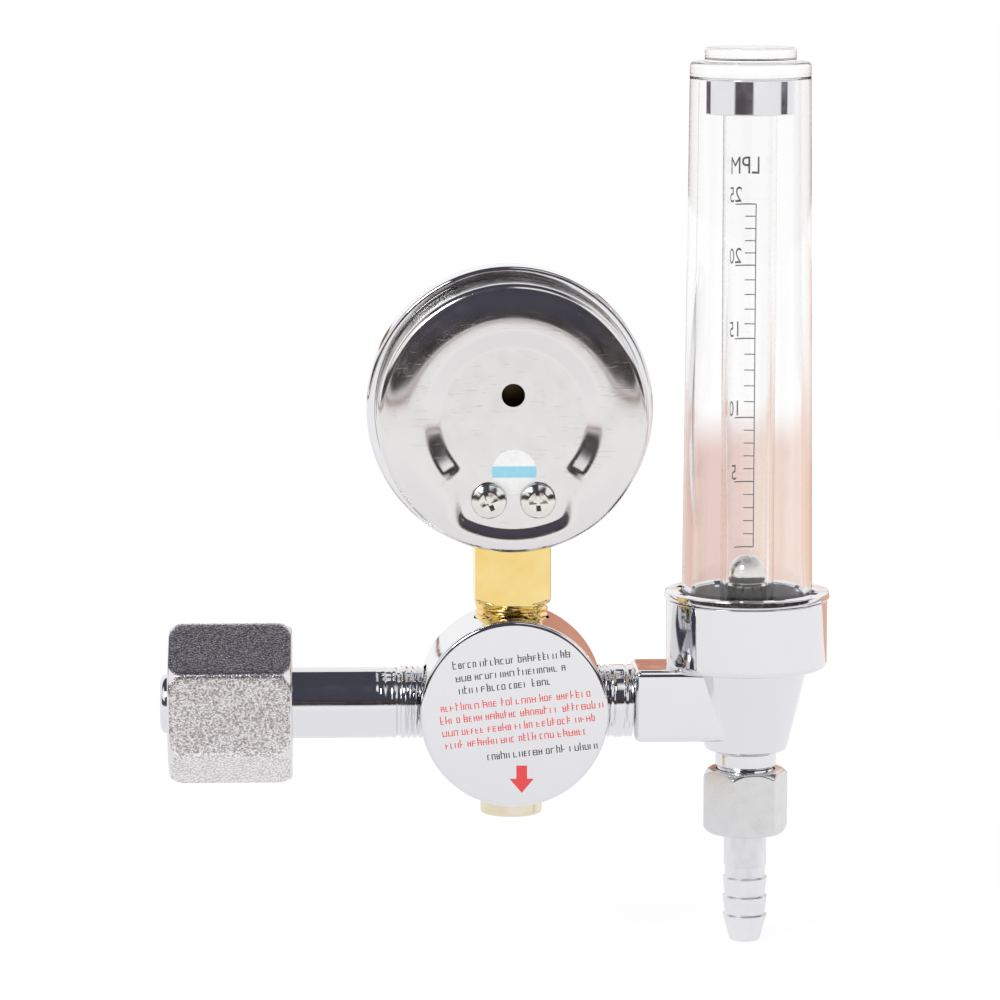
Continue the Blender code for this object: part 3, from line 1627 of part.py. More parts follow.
def metering_tube():
    """Tapered metering tube with its seal, ball seat, ball and top bush."""
    here = (FLOW_X, 0, 0)
    turned(
        "metering_tube",
        [
            (TUBE_BORE_TOP_R, TUBE_TOP),
            (TUBE_R, TUBE_TOP),
            (TUBE_R, TUBE_Z),
            (TUBE_BORE_LOW_R, TUBE_Z),
            (TUBE_BORE_LOW_R, BALL_SEAT_TOP),
        ],
        "clear_plastic",
        here,
        steps=MIDDLE,
    )
    seal_low = CUP_FLOOR_Z - TUBE_RECESS + SEAT
    turned(
        "tube_seal",
        ring_section(TUBE_R, BALL_SEAT_BORE_R, seal_low, seal_low + TUBE_SEAL_THICK),
        "rubber",
        here,
        steps=SMALL,
    )
    rim = TUBE_BORE_LOW_R - SEAT
    throat = BALL_SEAT_BORE_R
    turned(
        "ball_seat",
        [
            (rim, BALL_SEAT_TOP),
            (rim, TUBE_Z),
            (throat, TUBE_Z),
            (throat, BALL_SEAT_TOP - (rim - BALL_SEAT_LIP - throat)),
            (rim - BALL_SEAT_LIP, BALL_SEAT_TOP),
        ],
        "brass",
        here,
        steps=SMALL,
    )
    form = bmesh.new()
    bmesh.ops.create_uvsphere(form, u_segments=16, v_segments=8, radius=BALL_R)
    ball = add("float_ball", mesh_from("float_ball", form), "steel", (FLOW_X, 0, ball_rest()))
    smooth(ball)
    grip = BUSH_Z + BUSH_GRIP
    turned(
        "tube_bush",
        [
            (BUSH_BORE_R, BUSH_Z + BUSH_HEIGHT),
            (BUSH_R - BUSH_EDGE, BUSH_Z + BUSH_HEIGHT),
            (BUSH_R, BUSH_Z + BUSH_HEIGHT - BUSH_EDGE),
            (BUSH_R, BUSH_Z + BUSH_EDGE),
            (BUSH_R - BUSH_EDGE, BUSH_Z),
            (TUBE_R + SEAT, BUSH_Z),
            (TUBE_R + SEAT, grip),
            (BUSH_BORE_R, grip),
        ],
        "chrome",
        here,
        steps=MIDDLE,
    )


def ball_rest():
    """Height of the ball's centre where it sits in the 45 degree seat, a gap above it."""
    rim = TUBE_BORE_LOW_R - SEAT - BALL_SEAT_LIP
    apex = BALL_SEAT_TOP - rim
    return apex + (BALL_R + SEAT) * math.sqrt(2)


# Needle valve


def needle_valve():
    """Gland, packing, needle and fluted knob. Own +Z is +Y."""
    here = (FLOW_X, 0, 0)
    packing_low = BOSS_FRONT - GLAND_THREAD - PACKING_THICK - SEAT
    turned(
        "needle_packing",
        ring_section(
            GLAND_THREAD_R,
            NEEDLE_R + SEAT,
            packing_low,
            packing_low + PACKING_THICK,
        ),
        "rubber",
        here,
        "+Y",
        SMALL,
    )
    head_low = BOSS_FRONT + SEAT
    head_high = head_low + GLAND_HEAD
    gland_low = BOSS_FRONT - GLAND_THREAD + SEAT
    gland = prism("needle_gland", 6, GLAND_FLATS, head_low, head_high, "brass", at=here, towards="+Y")
    ends = turned(
        "gland_ends",
        [
            (0, head_high),
            (GLAND_FLATS * 0.49, head_high),
            (GLAND_FLATS * 0.62, head_high - GLAND_FLATS * 0.08),
            (GLAND_FLATS * 0.62, head_low - PROUD),
            (0, head_low - PROUD),
        ],
        None,
        here,
        "+Y",
        SMALL,
    )
    boolean(gland, "INTERSECT", ends)
    thread = turned(
        "gland_thread",
        rod_section(GLAND_THREAD_R, gland_low, head_low + PROUD),
        None,
        here,
        "+Y",
        SMALL,
    )
    boolean(gland, "UNION", thread)
    bore = drill(
        "gland_bore",
        NEEDLE_R + SEAT,
        (FLOW_X, gland_low - PROUD, 0),
        (FLOW_X, head_high + PROUD, 0),
        SMALL,
    )
    cut(gland, bore)
    knob_low = head_high + KNOB_AHEAD
    knob_high = knob_low + KNOB_LENGTH
    web_low = knob_high - KNOB_POCKET - KNOB_WEB
    web_high = knob_high - KNOB_POCKET
    closed_tip = CHAMBER_BACK - NEEDLE_CONE / 4
    share = (CHAMBER_BACK - closed_tip) / NEEDLE_CONE
    needle_end = web_low - SEAT
    shoulder = min(NEEDLE_R, NEEDLE_TIP_R + (NEEDLE_SEAT_R - SEAT - NEEDLE_TIP_R) / share)
    needle = turned(
        "needle",
        [
            (0, needle_end),
            (NEEDLE_R, needle_end),
            (NEEDLE_R, closed_tip + NEEDLE_CONE),
            (shoulder, closed_tip + NEEDLE_CONE),
            (NEEDLE_TIP_R, closed_tip),
            (0, closed_tip),
        ],
        "steel",
        here,
        "+Y",
        SMALL,
    )
    tapped = needle_end - NEEDLE_TAPPING
    cut(
        needle,
        drill(
            "needle_tapping",
            KNOB_SCREW_R + SEAT / 2,
            (FLOW_X, tapped, 0),
            (FLOW_X, needle_end + PROUD, 0),
            TINY,
        ),
    )
    knob_body(here, knob_low, knob_high, web_low, web_high)
    head_seat = web_high + SEAT
    screw = turned(
        "knob_screw",
        [
            (0, head_seat + KNOB_SCREW_HEAD),
            (KNOB_SCREW_HEAD_R * 0.8, head_seat + KNOB_SCREW_HEAD),
            (KNOB_SCREW_HEAD_R, head_seat + KNOB_SCREW_HEAD * 0.6),
            (KNOB_SCREW_HEAD_R, head_seat),
            (KNOB_SCREW_R, head_seat),
            (KNOB_SCREW_R, tapped + SEAT),
            (0, tapped + SEAT),
        ],
        "steel",
        here,
        "+Y",
        SMALL,
    )
    half = KNOB_SCREW_HEAD_R / 5
    slot = block(
        "knob_screw_slot",
        (FLOW_X - KNOB_SCREW_HEAD_R * 2, head_seat + KNOB_SCREW_HEAD / 2, -half),
        (FLOW_X + KNOB_SCREW_HEAD_R * 2, head_seat + KNOB_SCREW_HEAD * 2, half),
    )
    cut(screw, slot)


def knob_body(here, low, high, web_low, web_high):
    """Fluted knob: the side's radius dips in each flute, and both ends are chamfered."""
    per_flute = 3
    count = KNOB_FLUTES * per_flute

    def outline(radius, height, depth):
        ring = []
        for i in range(count):
            angle = 2 * math.pi * i / count
            dip = depth * (0.5 - 0.5 * math.cos(KNOB_FLUTES * angle))
            reach = radius - dip
            ring.append((reach * math.cos(angle), reach * math.sin(angle), height))
        return ring

    small = KNOB_R - KNOB_CHAMFER
    loops = [
        outline(small, low, 0.0),
        outline(KNOB_R, low + KNOB_CHAMFER / 2, KNOB_FLUTE_DEPTH),
        outline(KNOB_R, high - KNOB_CHAMFER, KNOB_FLUTE_DEPTH),
        outline(small, high, 0.0),
    ]
    knob = loft("flow_knob", loops, "black_plastic", True, True, at=here, towards="+Y")
    smooth(knob, 40)
    bore = turned(
        "knob_bore",
        [
            (0, high + PROUD),
            (KNOB_POCKET_R, high + PROUD),
            (KNOB_POCKET_R, web_high),
            (KNOB_SCREW_R + SEAT / 2, web_high),
            (KNOB_SCREW_R + SEAT / 2, web_low),
            (NEEDLE_R + SEAT, web_low),
            (NEEDLE_R + SEAT, low - PROUD),
            (0, low - PROUD),
        ],
        None,
        here,
        "+Y",
        SMALL,
    )
    return cut(knob, bore)


# Outlet


def outlet_adapter():
    """Turned neck between the casting and the hex nut."""
    seat = CONE_BOTTOM - SEAT
    neck_low = seat - ADAPTER_NECK
    low = TAIL_TOP + SEAT
    return turned(
        "outlet_adapter",
        [
            (ADAPTER_BORE_R, seat + ADAPTER_TOP_THREAD),
            (ADAPTER_TOP_THREAD_R, seat + ADAPTER_TOP_THREAD),
            (ADAPTER_TOP_THREAD_R, seat),
            (ADAPTER_R - ADAPTER_EDGE, seat),
            (ADAPTER_R, seat - ADAPTER_EDGE),
            (ADAPTER_R, neck_low + ADAPTER_EDGE),
            (ADAPTER_THREAD_R, neck_low),
            (ADAPTER_THREAD_R, low),
            (ADAPTER_BORE_R, low),
        ],
        "chrome",
        (FLOW_X, 0, 0),
        steps=MIDDLE,
    )


def outlet_nut():
    """Hex nut that clamps the hose tail. Its own +Z points up from its base."""
    hole = TAIL_R + SEAT
    top = OUTLET_NUT_HEIGHT + PROUD
    bore = [
        (0, top),
        (ADAPTER_THREAD_R + SEAT, top),
        (ADAPTER_THREAD_R + SEAT, OUTLET_NUT_FLOOR),
        (hole, OUTLET_NUT_FLOOR),
        (hole, -PROUD),
        (0, -PROUD),
    ]
    return hexagon_nut(
        "outlet_nut",
        OUTLET_NUT_FLATS,
        OUTLET_NUT_HEIGHT,
        OUTLET_NUT_END_R,
        OUTLET_NUT_CHAMFER,
        "satin_nickel",
        bore,
        turn=OUTLET_NUT_TURN,
        at=(FLOW_X, 0, OUTLET_NUT_BASE),
    )


def hose_tail():
    """Barbed tail with the head that the nut clamps."""
    head_low = TAIL_TOP - TAIL_HEAD
    plain_low = OUTLET_NUT_BASE - TAIL_PLAIN
    first = plain_low - TAIL_NECK
    profile = [
        (TAIL_BORE_R, TAIL_TOP),
        (TAIL_HEAD_R, TAIL_TOP),
        (TAIL_HEAD_R, head_low),
        (TAIL_R, head_low),
        (TAIL_R, plain_low),
    ]
    for i in range(TAIL_BARBS):
        top = first - i * TAIL_BARB_PITCH
        profile += [(TAIL_NECK_R, top), (TAIL_BARB_R, top - TAIL_BARB_STEP)]
    tip = top - TAIL_TIP
    profile += [
        (TAIL_TIP_R, tip + TAIL_TIP_ROUND),
        (TAIL_TIP_R - TAIL_TIP_ROUND, tip),
        (TAIL_BORE_R, tip),
    ]
    return turned("hose_tail", profile, "aluminium", (FLOW_X, 0, 0), steps=MIDDLE)


def main():
    start_scene()
    inlet_nut()
    inlet_stem()
    inlet_filter()
    regulator_body()
    pressure_valve()
    clamp = diaphragm_parts()
    bonnet_parts(clamp)
    safety_valve()
    gauge_socket()
    gauge_case()
    case_screws()
    gauge_front()
    dial_screws()
    movement()
    pointer()
    bourdon_tube()
    outlet_nipple()
    flowmeter_body()
    cover_ring()
    clear_cover()
    metering_tube()
    needle_valve()
    outlet_adapter()
    outlet_nut()
    hose_tail()


main()
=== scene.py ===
"""Dresses the argon flowmeter regulator: fine shapes, materials, light and camera."""

import json
import random
from math import atan2, cos, hypot, pi, radians, sin, sqrt, tan

import bmesh
import bpy
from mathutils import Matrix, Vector


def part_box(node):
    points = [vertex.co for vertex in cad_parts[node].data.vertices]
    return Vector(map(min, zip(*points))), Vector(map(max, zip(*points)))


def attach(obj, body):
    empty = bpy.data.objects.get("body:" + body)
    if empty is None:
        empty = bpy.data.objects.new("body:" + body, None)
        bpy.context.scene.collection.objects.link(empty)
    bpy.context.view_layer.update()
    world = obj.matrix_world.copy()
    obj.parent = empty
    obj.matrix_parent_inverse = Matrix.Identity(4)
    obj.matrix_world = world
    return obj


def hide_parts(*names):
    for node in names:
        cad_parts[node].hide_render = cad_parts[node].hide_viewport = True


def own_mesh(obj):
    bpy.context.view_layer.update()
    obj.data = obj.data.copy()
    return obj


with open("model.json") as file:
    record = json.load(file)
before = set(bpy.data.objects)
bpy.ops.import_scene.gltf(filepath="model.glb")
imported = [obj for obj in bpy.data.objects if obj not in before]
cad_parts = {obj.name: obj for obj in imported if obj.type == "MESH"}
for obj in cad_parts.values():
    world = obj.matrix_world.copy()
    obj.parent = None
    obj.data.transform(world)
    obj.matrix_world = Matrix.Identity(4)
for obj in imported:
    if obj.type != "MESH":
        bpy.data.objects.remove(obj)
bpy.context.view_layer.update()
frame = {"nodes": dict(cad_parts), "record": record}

# Sizes in metres, the same as in the CAD model
SEAT = 0.0003
NUT_FLATS = 0.032
NUT_LENGTH = 0.0277
NUT_END_R = 0.0168
NUT_CHAMFER = 0.0024
NUT_THREAD_R = 0.0105
NUT_THREAD_DEPTH = 0.0125
NUT_MOUTH = 0.001
NUT_PITCH = 0.001814
STEM_R = 0.008
STEM_BORE_R = 0.0028
STEM_THREAD = 0.0521
COLLAR_R = 0.0098
COLLAR_LENGTH = 0.003
NOSE_R = 0.0068
NOSE_REACH = 0.002
NOSE_ROUND = 0.0024
THREAD_R = 0.0082
THREAD_PITCH = 0.001337
THREAD_RELIEF = 0.00055
BODY_R = 0.021
BODY_BACK = 0.0166
BODY_FRONT = 0.0105
BODY_EDGE = 0.0011
BODY_X = 0.0771
PORT_BOTTOM = 0.015
COUNTERBORE_R = 0.0145
LOW_CHAMBER_R = 0.011
HIGH_CHAMBER_R = 0.006
DIAPHRAGM_Y = 0.0065
LOW_CHAMBER_Y = 0.002
HIGH_CHAMBER_Y = -0.009
BONNET_COLLAR_R = 0.0176
BONNET_COLLAR = 0.0037
BONNET_R = 0.0158
BONNET_LENGTH = 0.0205
BONNET_DOME = 0.004
BONNET_END = 0.0035
PRESET_SCREW_R = 0.004
PRESET_SCREW_PROUD = 0.001
PRESET_SLOT = 0.001
RELIEF_Y = 0.002
RELIEF_CAP_R = 0.007
RELIEF_PROUD = 0.0047
RELIEF_SPOTFACE = 0.0014
RELIEF_THREAD_R = 0.0055
RELIEF_THREAD = 0.0042
RELIEF_BORE_R = 0.0036
RELIEF_FLOOR = 0.0015
RELIEF_VENT_R = 0.0016
GAUGE_Z = 0.0653
CASE_R = 0.0302
CASE_WALL = 0.0007
CASE_CORNER = 0.0018
CASE_CROWN = 0.0014
CASE_CROWN_R = 0.0225
CASE_FRONT = 0.0145
CASE_NOTCH = 0.009
RECESS_Y = -0.0095
RECESS_DEPTH = 0.0018
RECESS_R = 0.0157
RECESS_HALF_WIDTH = 0.0114
RECESS_SLOPE = 0.0046
RECESS_FOOT_R = 0.0245
RECESS_FOOT_SLOPE = 0.0037
CASE_SCREW_APART = 0.0109
CASE_SCREW_BELOW = 0.0182
CASE_SCREW_R = 0.0017
CASE_SCREW_LENGTH = 0.006
CASE_SCREW_HEAD_R = 0.0041
CASE_SCREW_HEAD = 0.0024
CASE_SCREW_TURNS = {"left": 24.0, "right": 4.0}
CROSS_SLOT = 0.0011
CROSS_REACH = 0.0022
CROSS_DEPTH = 0.0012
VENT_R = 0.0026
VENT_ABOVE = 0.0053
SOCKET_FLATS = 0.017
SOCKET_LOW = 0.0234
SOCKET_HIGH = 0.0528
SOCKET_CHAMFER_R = 0.0098
SOCKET_CHAMFER = 0.0012
FOOT_LOW = 0.0153
BEZEL_R = 0.0324
BEZEL_BACK = 0.0087
BEZEL_FRONT = 0.0191
BEZEL_LIP_R = 0.0278
BEZEL_LIP_LOW = 0.0171
BEZEL_ROUND = 0.0016
WINDOW_LOW = 0.0148
WINDOW_HIGH = 0.0168
DIAL_R = 0.0283
DIAL_LOW = 0.0117
DIAL_HIGH = 0.0122
DIAL_BORE_R = 0.0016
DIAL_TICK_R = 0.0262
DIAL_ZONE_R = 0.027
DIAL_MAJOR_R = 0.0215
DIAL_MIDDLE_R = 0.0232
DIAL_MINOR_R = 0.024
DIAL_FIGURE_R = 0.0182
DIAL_FIGURE = 0.0048
DIAL_UNIT = 0.0042
DIAL_UNIT_BELOW = 0.0105
POINTER_Y = 0.0131
POINTER_LENGTH = 0.0225
POINTER_TAIL = 0.008
POINTER_THICK = 0.0006
POINTER_HUB_R = 0.0022
NIPPLE_TAIL_R = 0.0057
NIPPLE_TAIL = 0.007
NIPPLE_BORE_R = 0.002
NIPPLE_PLAIN_LOW = 0.0036
NIPPLE_PLAIN_HIGH = 0.0024
ARM_X = 0.1044
ARM_HEIGHT = 0.0164
ARM_DEPTH = 0.0174
ARM_ROUND = 0.0015
FLOW_X = 0.1302
CUP_R = 0.0181
CUP_BOTTOM = 0.0078
CUP_TOP = 0.0233
CUP_ROUND = 0.0014
CUP_BORE_R = 0.0166
CUP_FLOOR_Z = 0.0108
CONE_TOP_R = 0.0138
CONE_BOTTOM_R = 0.0092
CONE_BOTTOM = -0.0112
CONE_ROUND = 0.0012
BOSS_R = 0.0074
BOSS_FRONT = 0.015
TUBE_RECESS_Z = 0.0055
VALVE_BORE_Y = 0.0066
OUTLET_BORE_Z = -0.0059
COVER_Z = 0.0127
FLANGE_TOP = 0.015
COVER_BASE_R = 0.01475
COVER_TOP_R = 0.0135
COVER_WALL = 0.002
ROOF_Z = 0.1406
COVER_TOP = 0.1439
COVER_EDGE = 0.0006
COVER_KNOB_R = 0.0102
COVER_KNOB_TOP = 0.1471
RING_R = 0.0186
RING_LOW = 0.0236
RING_HIGH = 0.0251
RING_BEVEL = 0.0005
RING_NOTCHES = 8
RING_NOTCH_WIDTH = 0.0027
RING_NOTCH_DEPTH = 0.0012
RING_NOTCH_REACH = 0.0014
TUBE_R = 0.006
TUBE_BORE_LOW_R = 0.0046
TUBE_BORE_TOP_R = 0.0052
TUBE_Z = 0.0073
TUBE_TOP = 0.1355
BALL_SEAT_TOP = 0.0266
BALL_SEAT_LIP = 0.0003
BALL_SEAT_BORE_R = 0.0015
BALL_R = 0.0043
BALL_Z = 0.029105
BUSH_R = 0.0098
BUSH_LOW = 0.1323
BUSH_HIGH = 0.1403
BUSH_GRIP = 0.0035
BUSH_BORE_R = 0.003
GLAND_FLATS = 0.011
GLAND_LOW = 0.0153
GLAND_HIGH = 0.0193
GLAND_THREAD_R = 0.0042
GLAND_THREAD_END = 0.0088
NEEDLE_R = 0.0017
KNOB_R = 0.01
KNOB_LOW = 0.0205
KNOB_HIGH = 0.0323
KNOB_FLUTES = 16
KNOB_FLUTE_DEPTH = 0.0006
KNOB_POCKET_R = 0.0042
KNOB_POCKET_Y = 0.0293
KNOB_WEB_Y = 0.0263
KNOB_SCREW_R = 0.001
KNOB_SCREW_HEAD_R = 0.0026
KNOB_SCREW_HEAD = 0.0014
ADAPTER_R = 0.0069
ADAPTER_NECK_LOW = -0.0148
ADAPTER_TOP_THREAD_R = 0.0049
ADAPTER_THREAD_R = 0.0064
ADAPTER_BORE_R = 0.0021
OUTLET_NUT_FLATS = 0.017
OUTLET_NUT_TOP = -0.0157
OUTLET_NUT_BASE = -0.0303
OUTLET_NUT_END_R = 0.0085
OUTLET_NUT_CHAMFER = 0.0014
OUTLET_NUT_FLOOR = 0.0037
OUTLET_NUT_TURN = 37.2
TAIL_HEAD_R = 0.0061
TAIL_HEAD = 0.0025
TAIL_R = 0.0048
TAIL_PLAIN = 0.0075
TAIL_NECK_R = 0.0045
TAIL_NECK = 0.0027
TAIL_BARB_R = 0.005
TAIL_BARB_STEP = 0.0003
TAIL_BARB_PITCH = 0.0043
TAIL_BARBS = 3
TAIL_TIP_R = 0.0034
TAIL_TIP = 0.0061
TAIL_BORE_R = 0.0024

# Rounded edges, how far a cutter stands out, and the spacing of rings on a thread, in metres
HAIR = 0.0001
FINE = 0.0002
EDGE = 0.0003
SOFT = 0.0005
PAST = 0.001
THREAD_STEP = 0.00016

# Print, in metres
PRINT_LIFT = 0.00003
SCALE_HEIGHTS = {25: 0.11183, 20: 0.09809, 15: 0.08159, 10: 0.06371, 5: 0.04916}
SCALE_BOTTOM = 0.03427
SCALE_LINE = 0.0022
SCALE_MAJOR = -0.0034
SCALE_MINOR = -0.0006
SCALE_STROKE = 0.00028
SCALE_FIGURE = 0.005
SCALE_FIGURE_SIDE = -0.0036
SCALE_FIGURE_ABOVE = 0.002
SCALE_UNIT = 0.0056
SCALE_UNIT_SIDE = -0.001
SCALE_UNIT_Z = 0.1203
STICKER_R = 0.005
STICKER_BELOW = 0.0118
STICKER_BAND = 0.0025
STICKER_THICK = 0.00008
PRINT_TILT = radians(5.8)
LETTER_STROKE = 0.00023
LETTER_HEIGHT = 0.0018
LETTER_WIDTHS = (0.00072, 0.00108)
LETTER_GAP = 0.00022
WORD_GAP = 0.0006

# Camera and stage
CAMERA_AT = (0.0351, -1.0254, 0.1883)
CAMERA_TARGET = (0.0745, 0.0, 0.0459)
CAMERA_LENS = 166.2
FLOOR_Z = -0.0556
FLOOR_HALF = 6.0
KEY_AT = (-0.9, -1.1, 1.3)
KEY_TARGET = (0.07, 0, 0.04)
KEY_SIZE = 0.7
KEY_POWER = 9.0
WALL_Y = 0.32
WALL_TOP = 0.075
WALL_SPAN = (-0.3, 0.7)
WHITE = (1.0, 1.0, 1.0)

# Points that pieces are turned round
INLET = (0, 0, 0)
MIDDLE = (BODY_X, 0, 0)
GAUGE = (BODY_X, 0, GAUGE_Z)
METER = (FLOW_X, 0, 0)

# CAD nodes whose finish isn't the common one of their slot; the movement's brass is painted dark as the
# shade inside the gauge case
MOVEMENT = ["movement_back_plate", "movement_front_plate", "pointer_spindle"]
MOVEMENT += ["gauge_sector", "bourdon_tube"]
OWN_LOOKS = dict.fromkeys(MOVEMENT, "aged_brass") | dict.fromkeys(("cover_seal", "tube_seal"), "pale_seal")

# Marks a profile point whose radius the shape function works out
OUTSIDE = 1.0
LOOKS = {}


# Mesh helpers


def spot(axis, at, radius, angle, along):
    """The point at a radius, an angle and a distance along one axis."""
    side = radius * cos(angle)
    up = radius * sin(angle)
    if axis == "X":
        return (at[0] + along, at[1] + side, at[2] + up)
    if axis == "Y":
        return (at[0] + side, at[1] + along, at[2] + up)
    return (at[0] + side, at[1] + up, at[2] + along)


def join_rings(bm, first, second):
    """Faces between two rings. A ring of one vertex is a pole."""
    if len(first) == 1 and len(second) == 1:
        return
    count = max(len(first), len(second))
    for i in range(count):
        j = (i + 1) % count
        if len(first) == 1:
            bm.faces.new((first[0], second[j], second[i]))
        elif len(second) == 1:
            bm.faces.new((first[i], first[j], second[0]))
        else:
            bm.faces.new((first[i], first[j], second[j], second[i]))


def join_all(bm, rings):
    for first, second in zip(rings, rings[1:]):
        join_rings(bm, first, second)


def soften(obj, sharp):
    obj.data.shade_smooth()
    obj.data.set_sharp_from_angle(angle=radians(sharp))


def linked(name, data):
    obj = bpy.data.objects.new(name, data)
    bpy.context.scene.collection.objects.link(obj)
    return obj


def made(name, bm, look, sharp=40):
    """Turns a bmesh into an object with one material."""
    bmesh.ops.recalc_face_normals(bm, faces=bm.faces)
    mesh = bpy.data.meshes.new(name)
    bm.to_mesh(mesh)
    bm.free()
    obj = linked(name, mesh)
    if look:
        mesh.materials.append(LOOKS[look])
    soften(obj, sharp)
    return obj


def lathe(name, profile, axis, at, look, steps=128, shape=None, sharp=40):
    """Turned piece. The profile holds (radius, distance along), and shape may change the radius."""
    bm = bmesh.new()
    rings = []
    for radius, along in profile:
        if radius < 1e-6:
            rings.append([bm.verts.new(spot(axis, at, 0, 0, along))])
            continue
        ring = []
        for i in range(steps):
            angle = 2 * pi * i / steps
            reach = shape(angle, radius, along) if shape else radius
            ring.append(bm.verts.new(spot(axis, at, reach, angle, along)))
        rings.append(ring)
    join_all(bm, rings)
    if len(rings[0]) > 1:
        join_rings(bm, rings[-1], rings[0])
    return made(name, bm, look, sharp)


def rounded(*points, parts=4):
    """Profile from corners (radius, along), and (radius, along, fillet) where the corner is rounded."""
    profile = []
    for i, (radius, along, *fillet) in enumerate(points):
        if not fillet:
            profile.append((radius, along))
            continue
        here = Vector((radius, along))
        before = Vector(points[i - 1][:2]) - here
        after = Vector(points[(i + 1) % len(points)][:2]) - here
        half = before.angle(after) / 2
        reach = min(fillet[0] / tan(half), 0.49 * before.length, 0.49 * after.length)
        start = here + before.normalized() * reach
        end = here + after.normalized() * reach
        for step in range(parts + 1):
            t = step / parts
            profile.append(tuple(start * (1 - t) ** 2 + here * 2 * t * (1 - t) + end * t * t))
    return profile


def stretch(radius, start, end, step=THREAD_STEP):
    """Evenly spaced profile points at one radius."""
    count = max(1, round(abs(end - start) / step))
    return [(radius, start + (end - start) * i / count) for i in range(count + 1)]


def ripple(low, high, least, pitch=THREAD_PITCH, depth=THREAD_RELIEF, inner=False):
    """Shape function for a helical thread between two distances along the axis."""

    def shape(angle, radius, along):
        if radius < least or radius > OUTSIDE / 2 or not low < along < high:
            return radius
        turn = (along / pitch + angle / (2 * pi)) % 1
        ridge = min(1.0, 1.25 * abs(2 * turn - 1))
        fade = min(1.0, (along - low) / pitch, (high - along) / pitch)
        change = depth * fade * (1 - ridge)
        return radius + change if inner else radius - change

    return shape


def polygon_reach(angle, sides, flats, turn, softness):
    """Distance to the outline of a polygon with softly rounded corners."""
    total = 0.0
    for side in range(sides):
        total += max(cos(angle - turn - side * 2 * pi / sides), 0.0) ** softness
    return flats / 2 / total ** (1 / softness)


def soft_least(first, second, softness=90):
    """The lesser of two distances, with a rounded change between them."""
    return first * (1 + (first / second) ** softness) ** (-1 / softness)


def carve(obj, cutters, operation="DIFFERENCE", sharp=40):
    """Cuts or joins the other meshes, applies the result and removes them."""
    bpy.context.view_layer.update()
    for cutter in cutters:
        step = obj.modifiers.new("cut", "BOOLEAN")
        step.solver = "EXACT"
        step.operation = operation
        step.object = cutter
    graph = bpy.context.evaluated_depsgraph_get()
    mesh = bpy.data.meshes.new_from_object(obj.evaluated_get(graph))
    obj.modifiers.clear()
    obj.data = mesh
    for cutter in cutters:
        bpy.data.objects.remove(cutter)
    soften(obj, sharp)


def rod(name, axis, at, radius, low, high, mouth=0.0):
    """Cutter for a round hole, wider by mouth at its far end when mouth is above 0."""
    profile = [(0, low), (radius, low)]
    if mouth:
        profile.append((radius, high - 2 * mouth))
    profile += [(radius + 2 * mouth, high), (0, high)]
    return lathe(name, profile, axis, at, None, 96)


def brick(name, low, high, look=None, edge=0.0, parts=4):
    """Box with rounded edges."""
    bm = bmesh.new()
    bmesh.ops.create_cube(bm, size=1.0)
    for vert in bm.verts:
        for i in range(3):
            vert.co[i] = low[i] if vert.co[i] < 0 else high[i]
    if edge:
        bmesh.ops.bevel(bm, geom=bm.edges[:], offset=edge, segments=parts, affect="EDGES", profile=0.5)
    return made(name, bm, look)


def slab(bm, outline, lift):
    """Closed plate from an outline, raised by a vector."""
    low = [bm.verts.new(point) for point in outline]
    high = [bm.verts.new(point + lift) for point in outline]
    bm.faces.new(low)
    bm.faces.new(high)
    join_rings(bm, low, high)


def flat_bar(bm, start, end, width, lift):
    """Thin flat bar between two points, facing along lift."""
    along = (end - start).normalized()
    across = along.cross(lift.normalized()) * width / 2
    slab(bm, [start - across, end - across, end + across, start + across], lift)


def dress(obj, slot, *nodes, body="regulator"):
    """Ties a piece to its body and to the CAD nodes it stands for, which it hides. The slot is not used."""
    even = obj.modifiers.new("even_faces", "WEIGHTED_NORMAL")
    even.keep_sharp = True
    even.weight = 100
    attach(obj, body)
    if nodes:
        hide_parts(*nodes)


def turned(name, node, slot, profile, axis, at, steps=128, look=None, body="regulator", **shaping):
    """Turned piece in place of one CAD node, with the look of its slot unless one is given."""
    dress(lathe(name, profile, axis, at, look or slot, steps, **shaping), slot, node, body=body)


def second_look(obj, look, chosen):
    """Gives a second material to the faces that the test picks."""
    obj.data.materials.append(LOOKS[look])
    for face in obj.data.polygons:
        if chosen(face.center):
            face.material_index = 1


# Material helpers. The owner of a node tree is a material or the world.


def add_node(owner, kind, inputs=None, **settings):
    """Shader node of a kind, with its settings, and its inputs as values or links."""
    made_node = owner.node_tree.nodes.new(f"ShaderNode{kind}")
    for name, value in settings.items():
        setattr(made_node, name, value)
    for name, value in (inputs or {}).items():
        if isinstance(value, bpy.types.NodeSocket):
            owner.node_tree.links.new(value, made_node.inputs[name])
        else:
            made_node.inputs[name].default_value = value
    return made_node


def plain(name, colour, metallic, roughness, sockets=None):
    """Principled material under its name in LOOKS."""
    material = bpy.data.materials.new(name)
    material.use_nodes = True
    shader = material.node_tree.nodes["Principled BSDF"]
    values = {"Base Color": (*colour, 1), "Metallic": metallic, "Roughness": roughness}
    values.update(sockets or {})
    for socket, value in values.items():
        shader.inputs[socket].default_value = value
    LOOKS[name] = material
    return material


def drive(material, socket, value):
    """Links a node's output to the shader."""
    shader = material.node_tree.nodes["Principled BSDF"]
    material.node_tree.links.new(value, shader.inputs[socket])


def noise(material, scale, detail=2.0, stretched=(1, 1, 1), roughness=0.5):
    """Noise with about scale features in a metre."""
    place = add_node(material, "TexCoord").outputs["Object"]
    mapped = add_node(material, "Mapping", {"Vector": place, "Scale": stretched})
    inputs = {"Vector": mapped.outputs[0], "Scale": scale, "Detail": detail, "Roughness": roughness}
    return add_node(material, "TexNoise", inputs).outputs["Fac"]


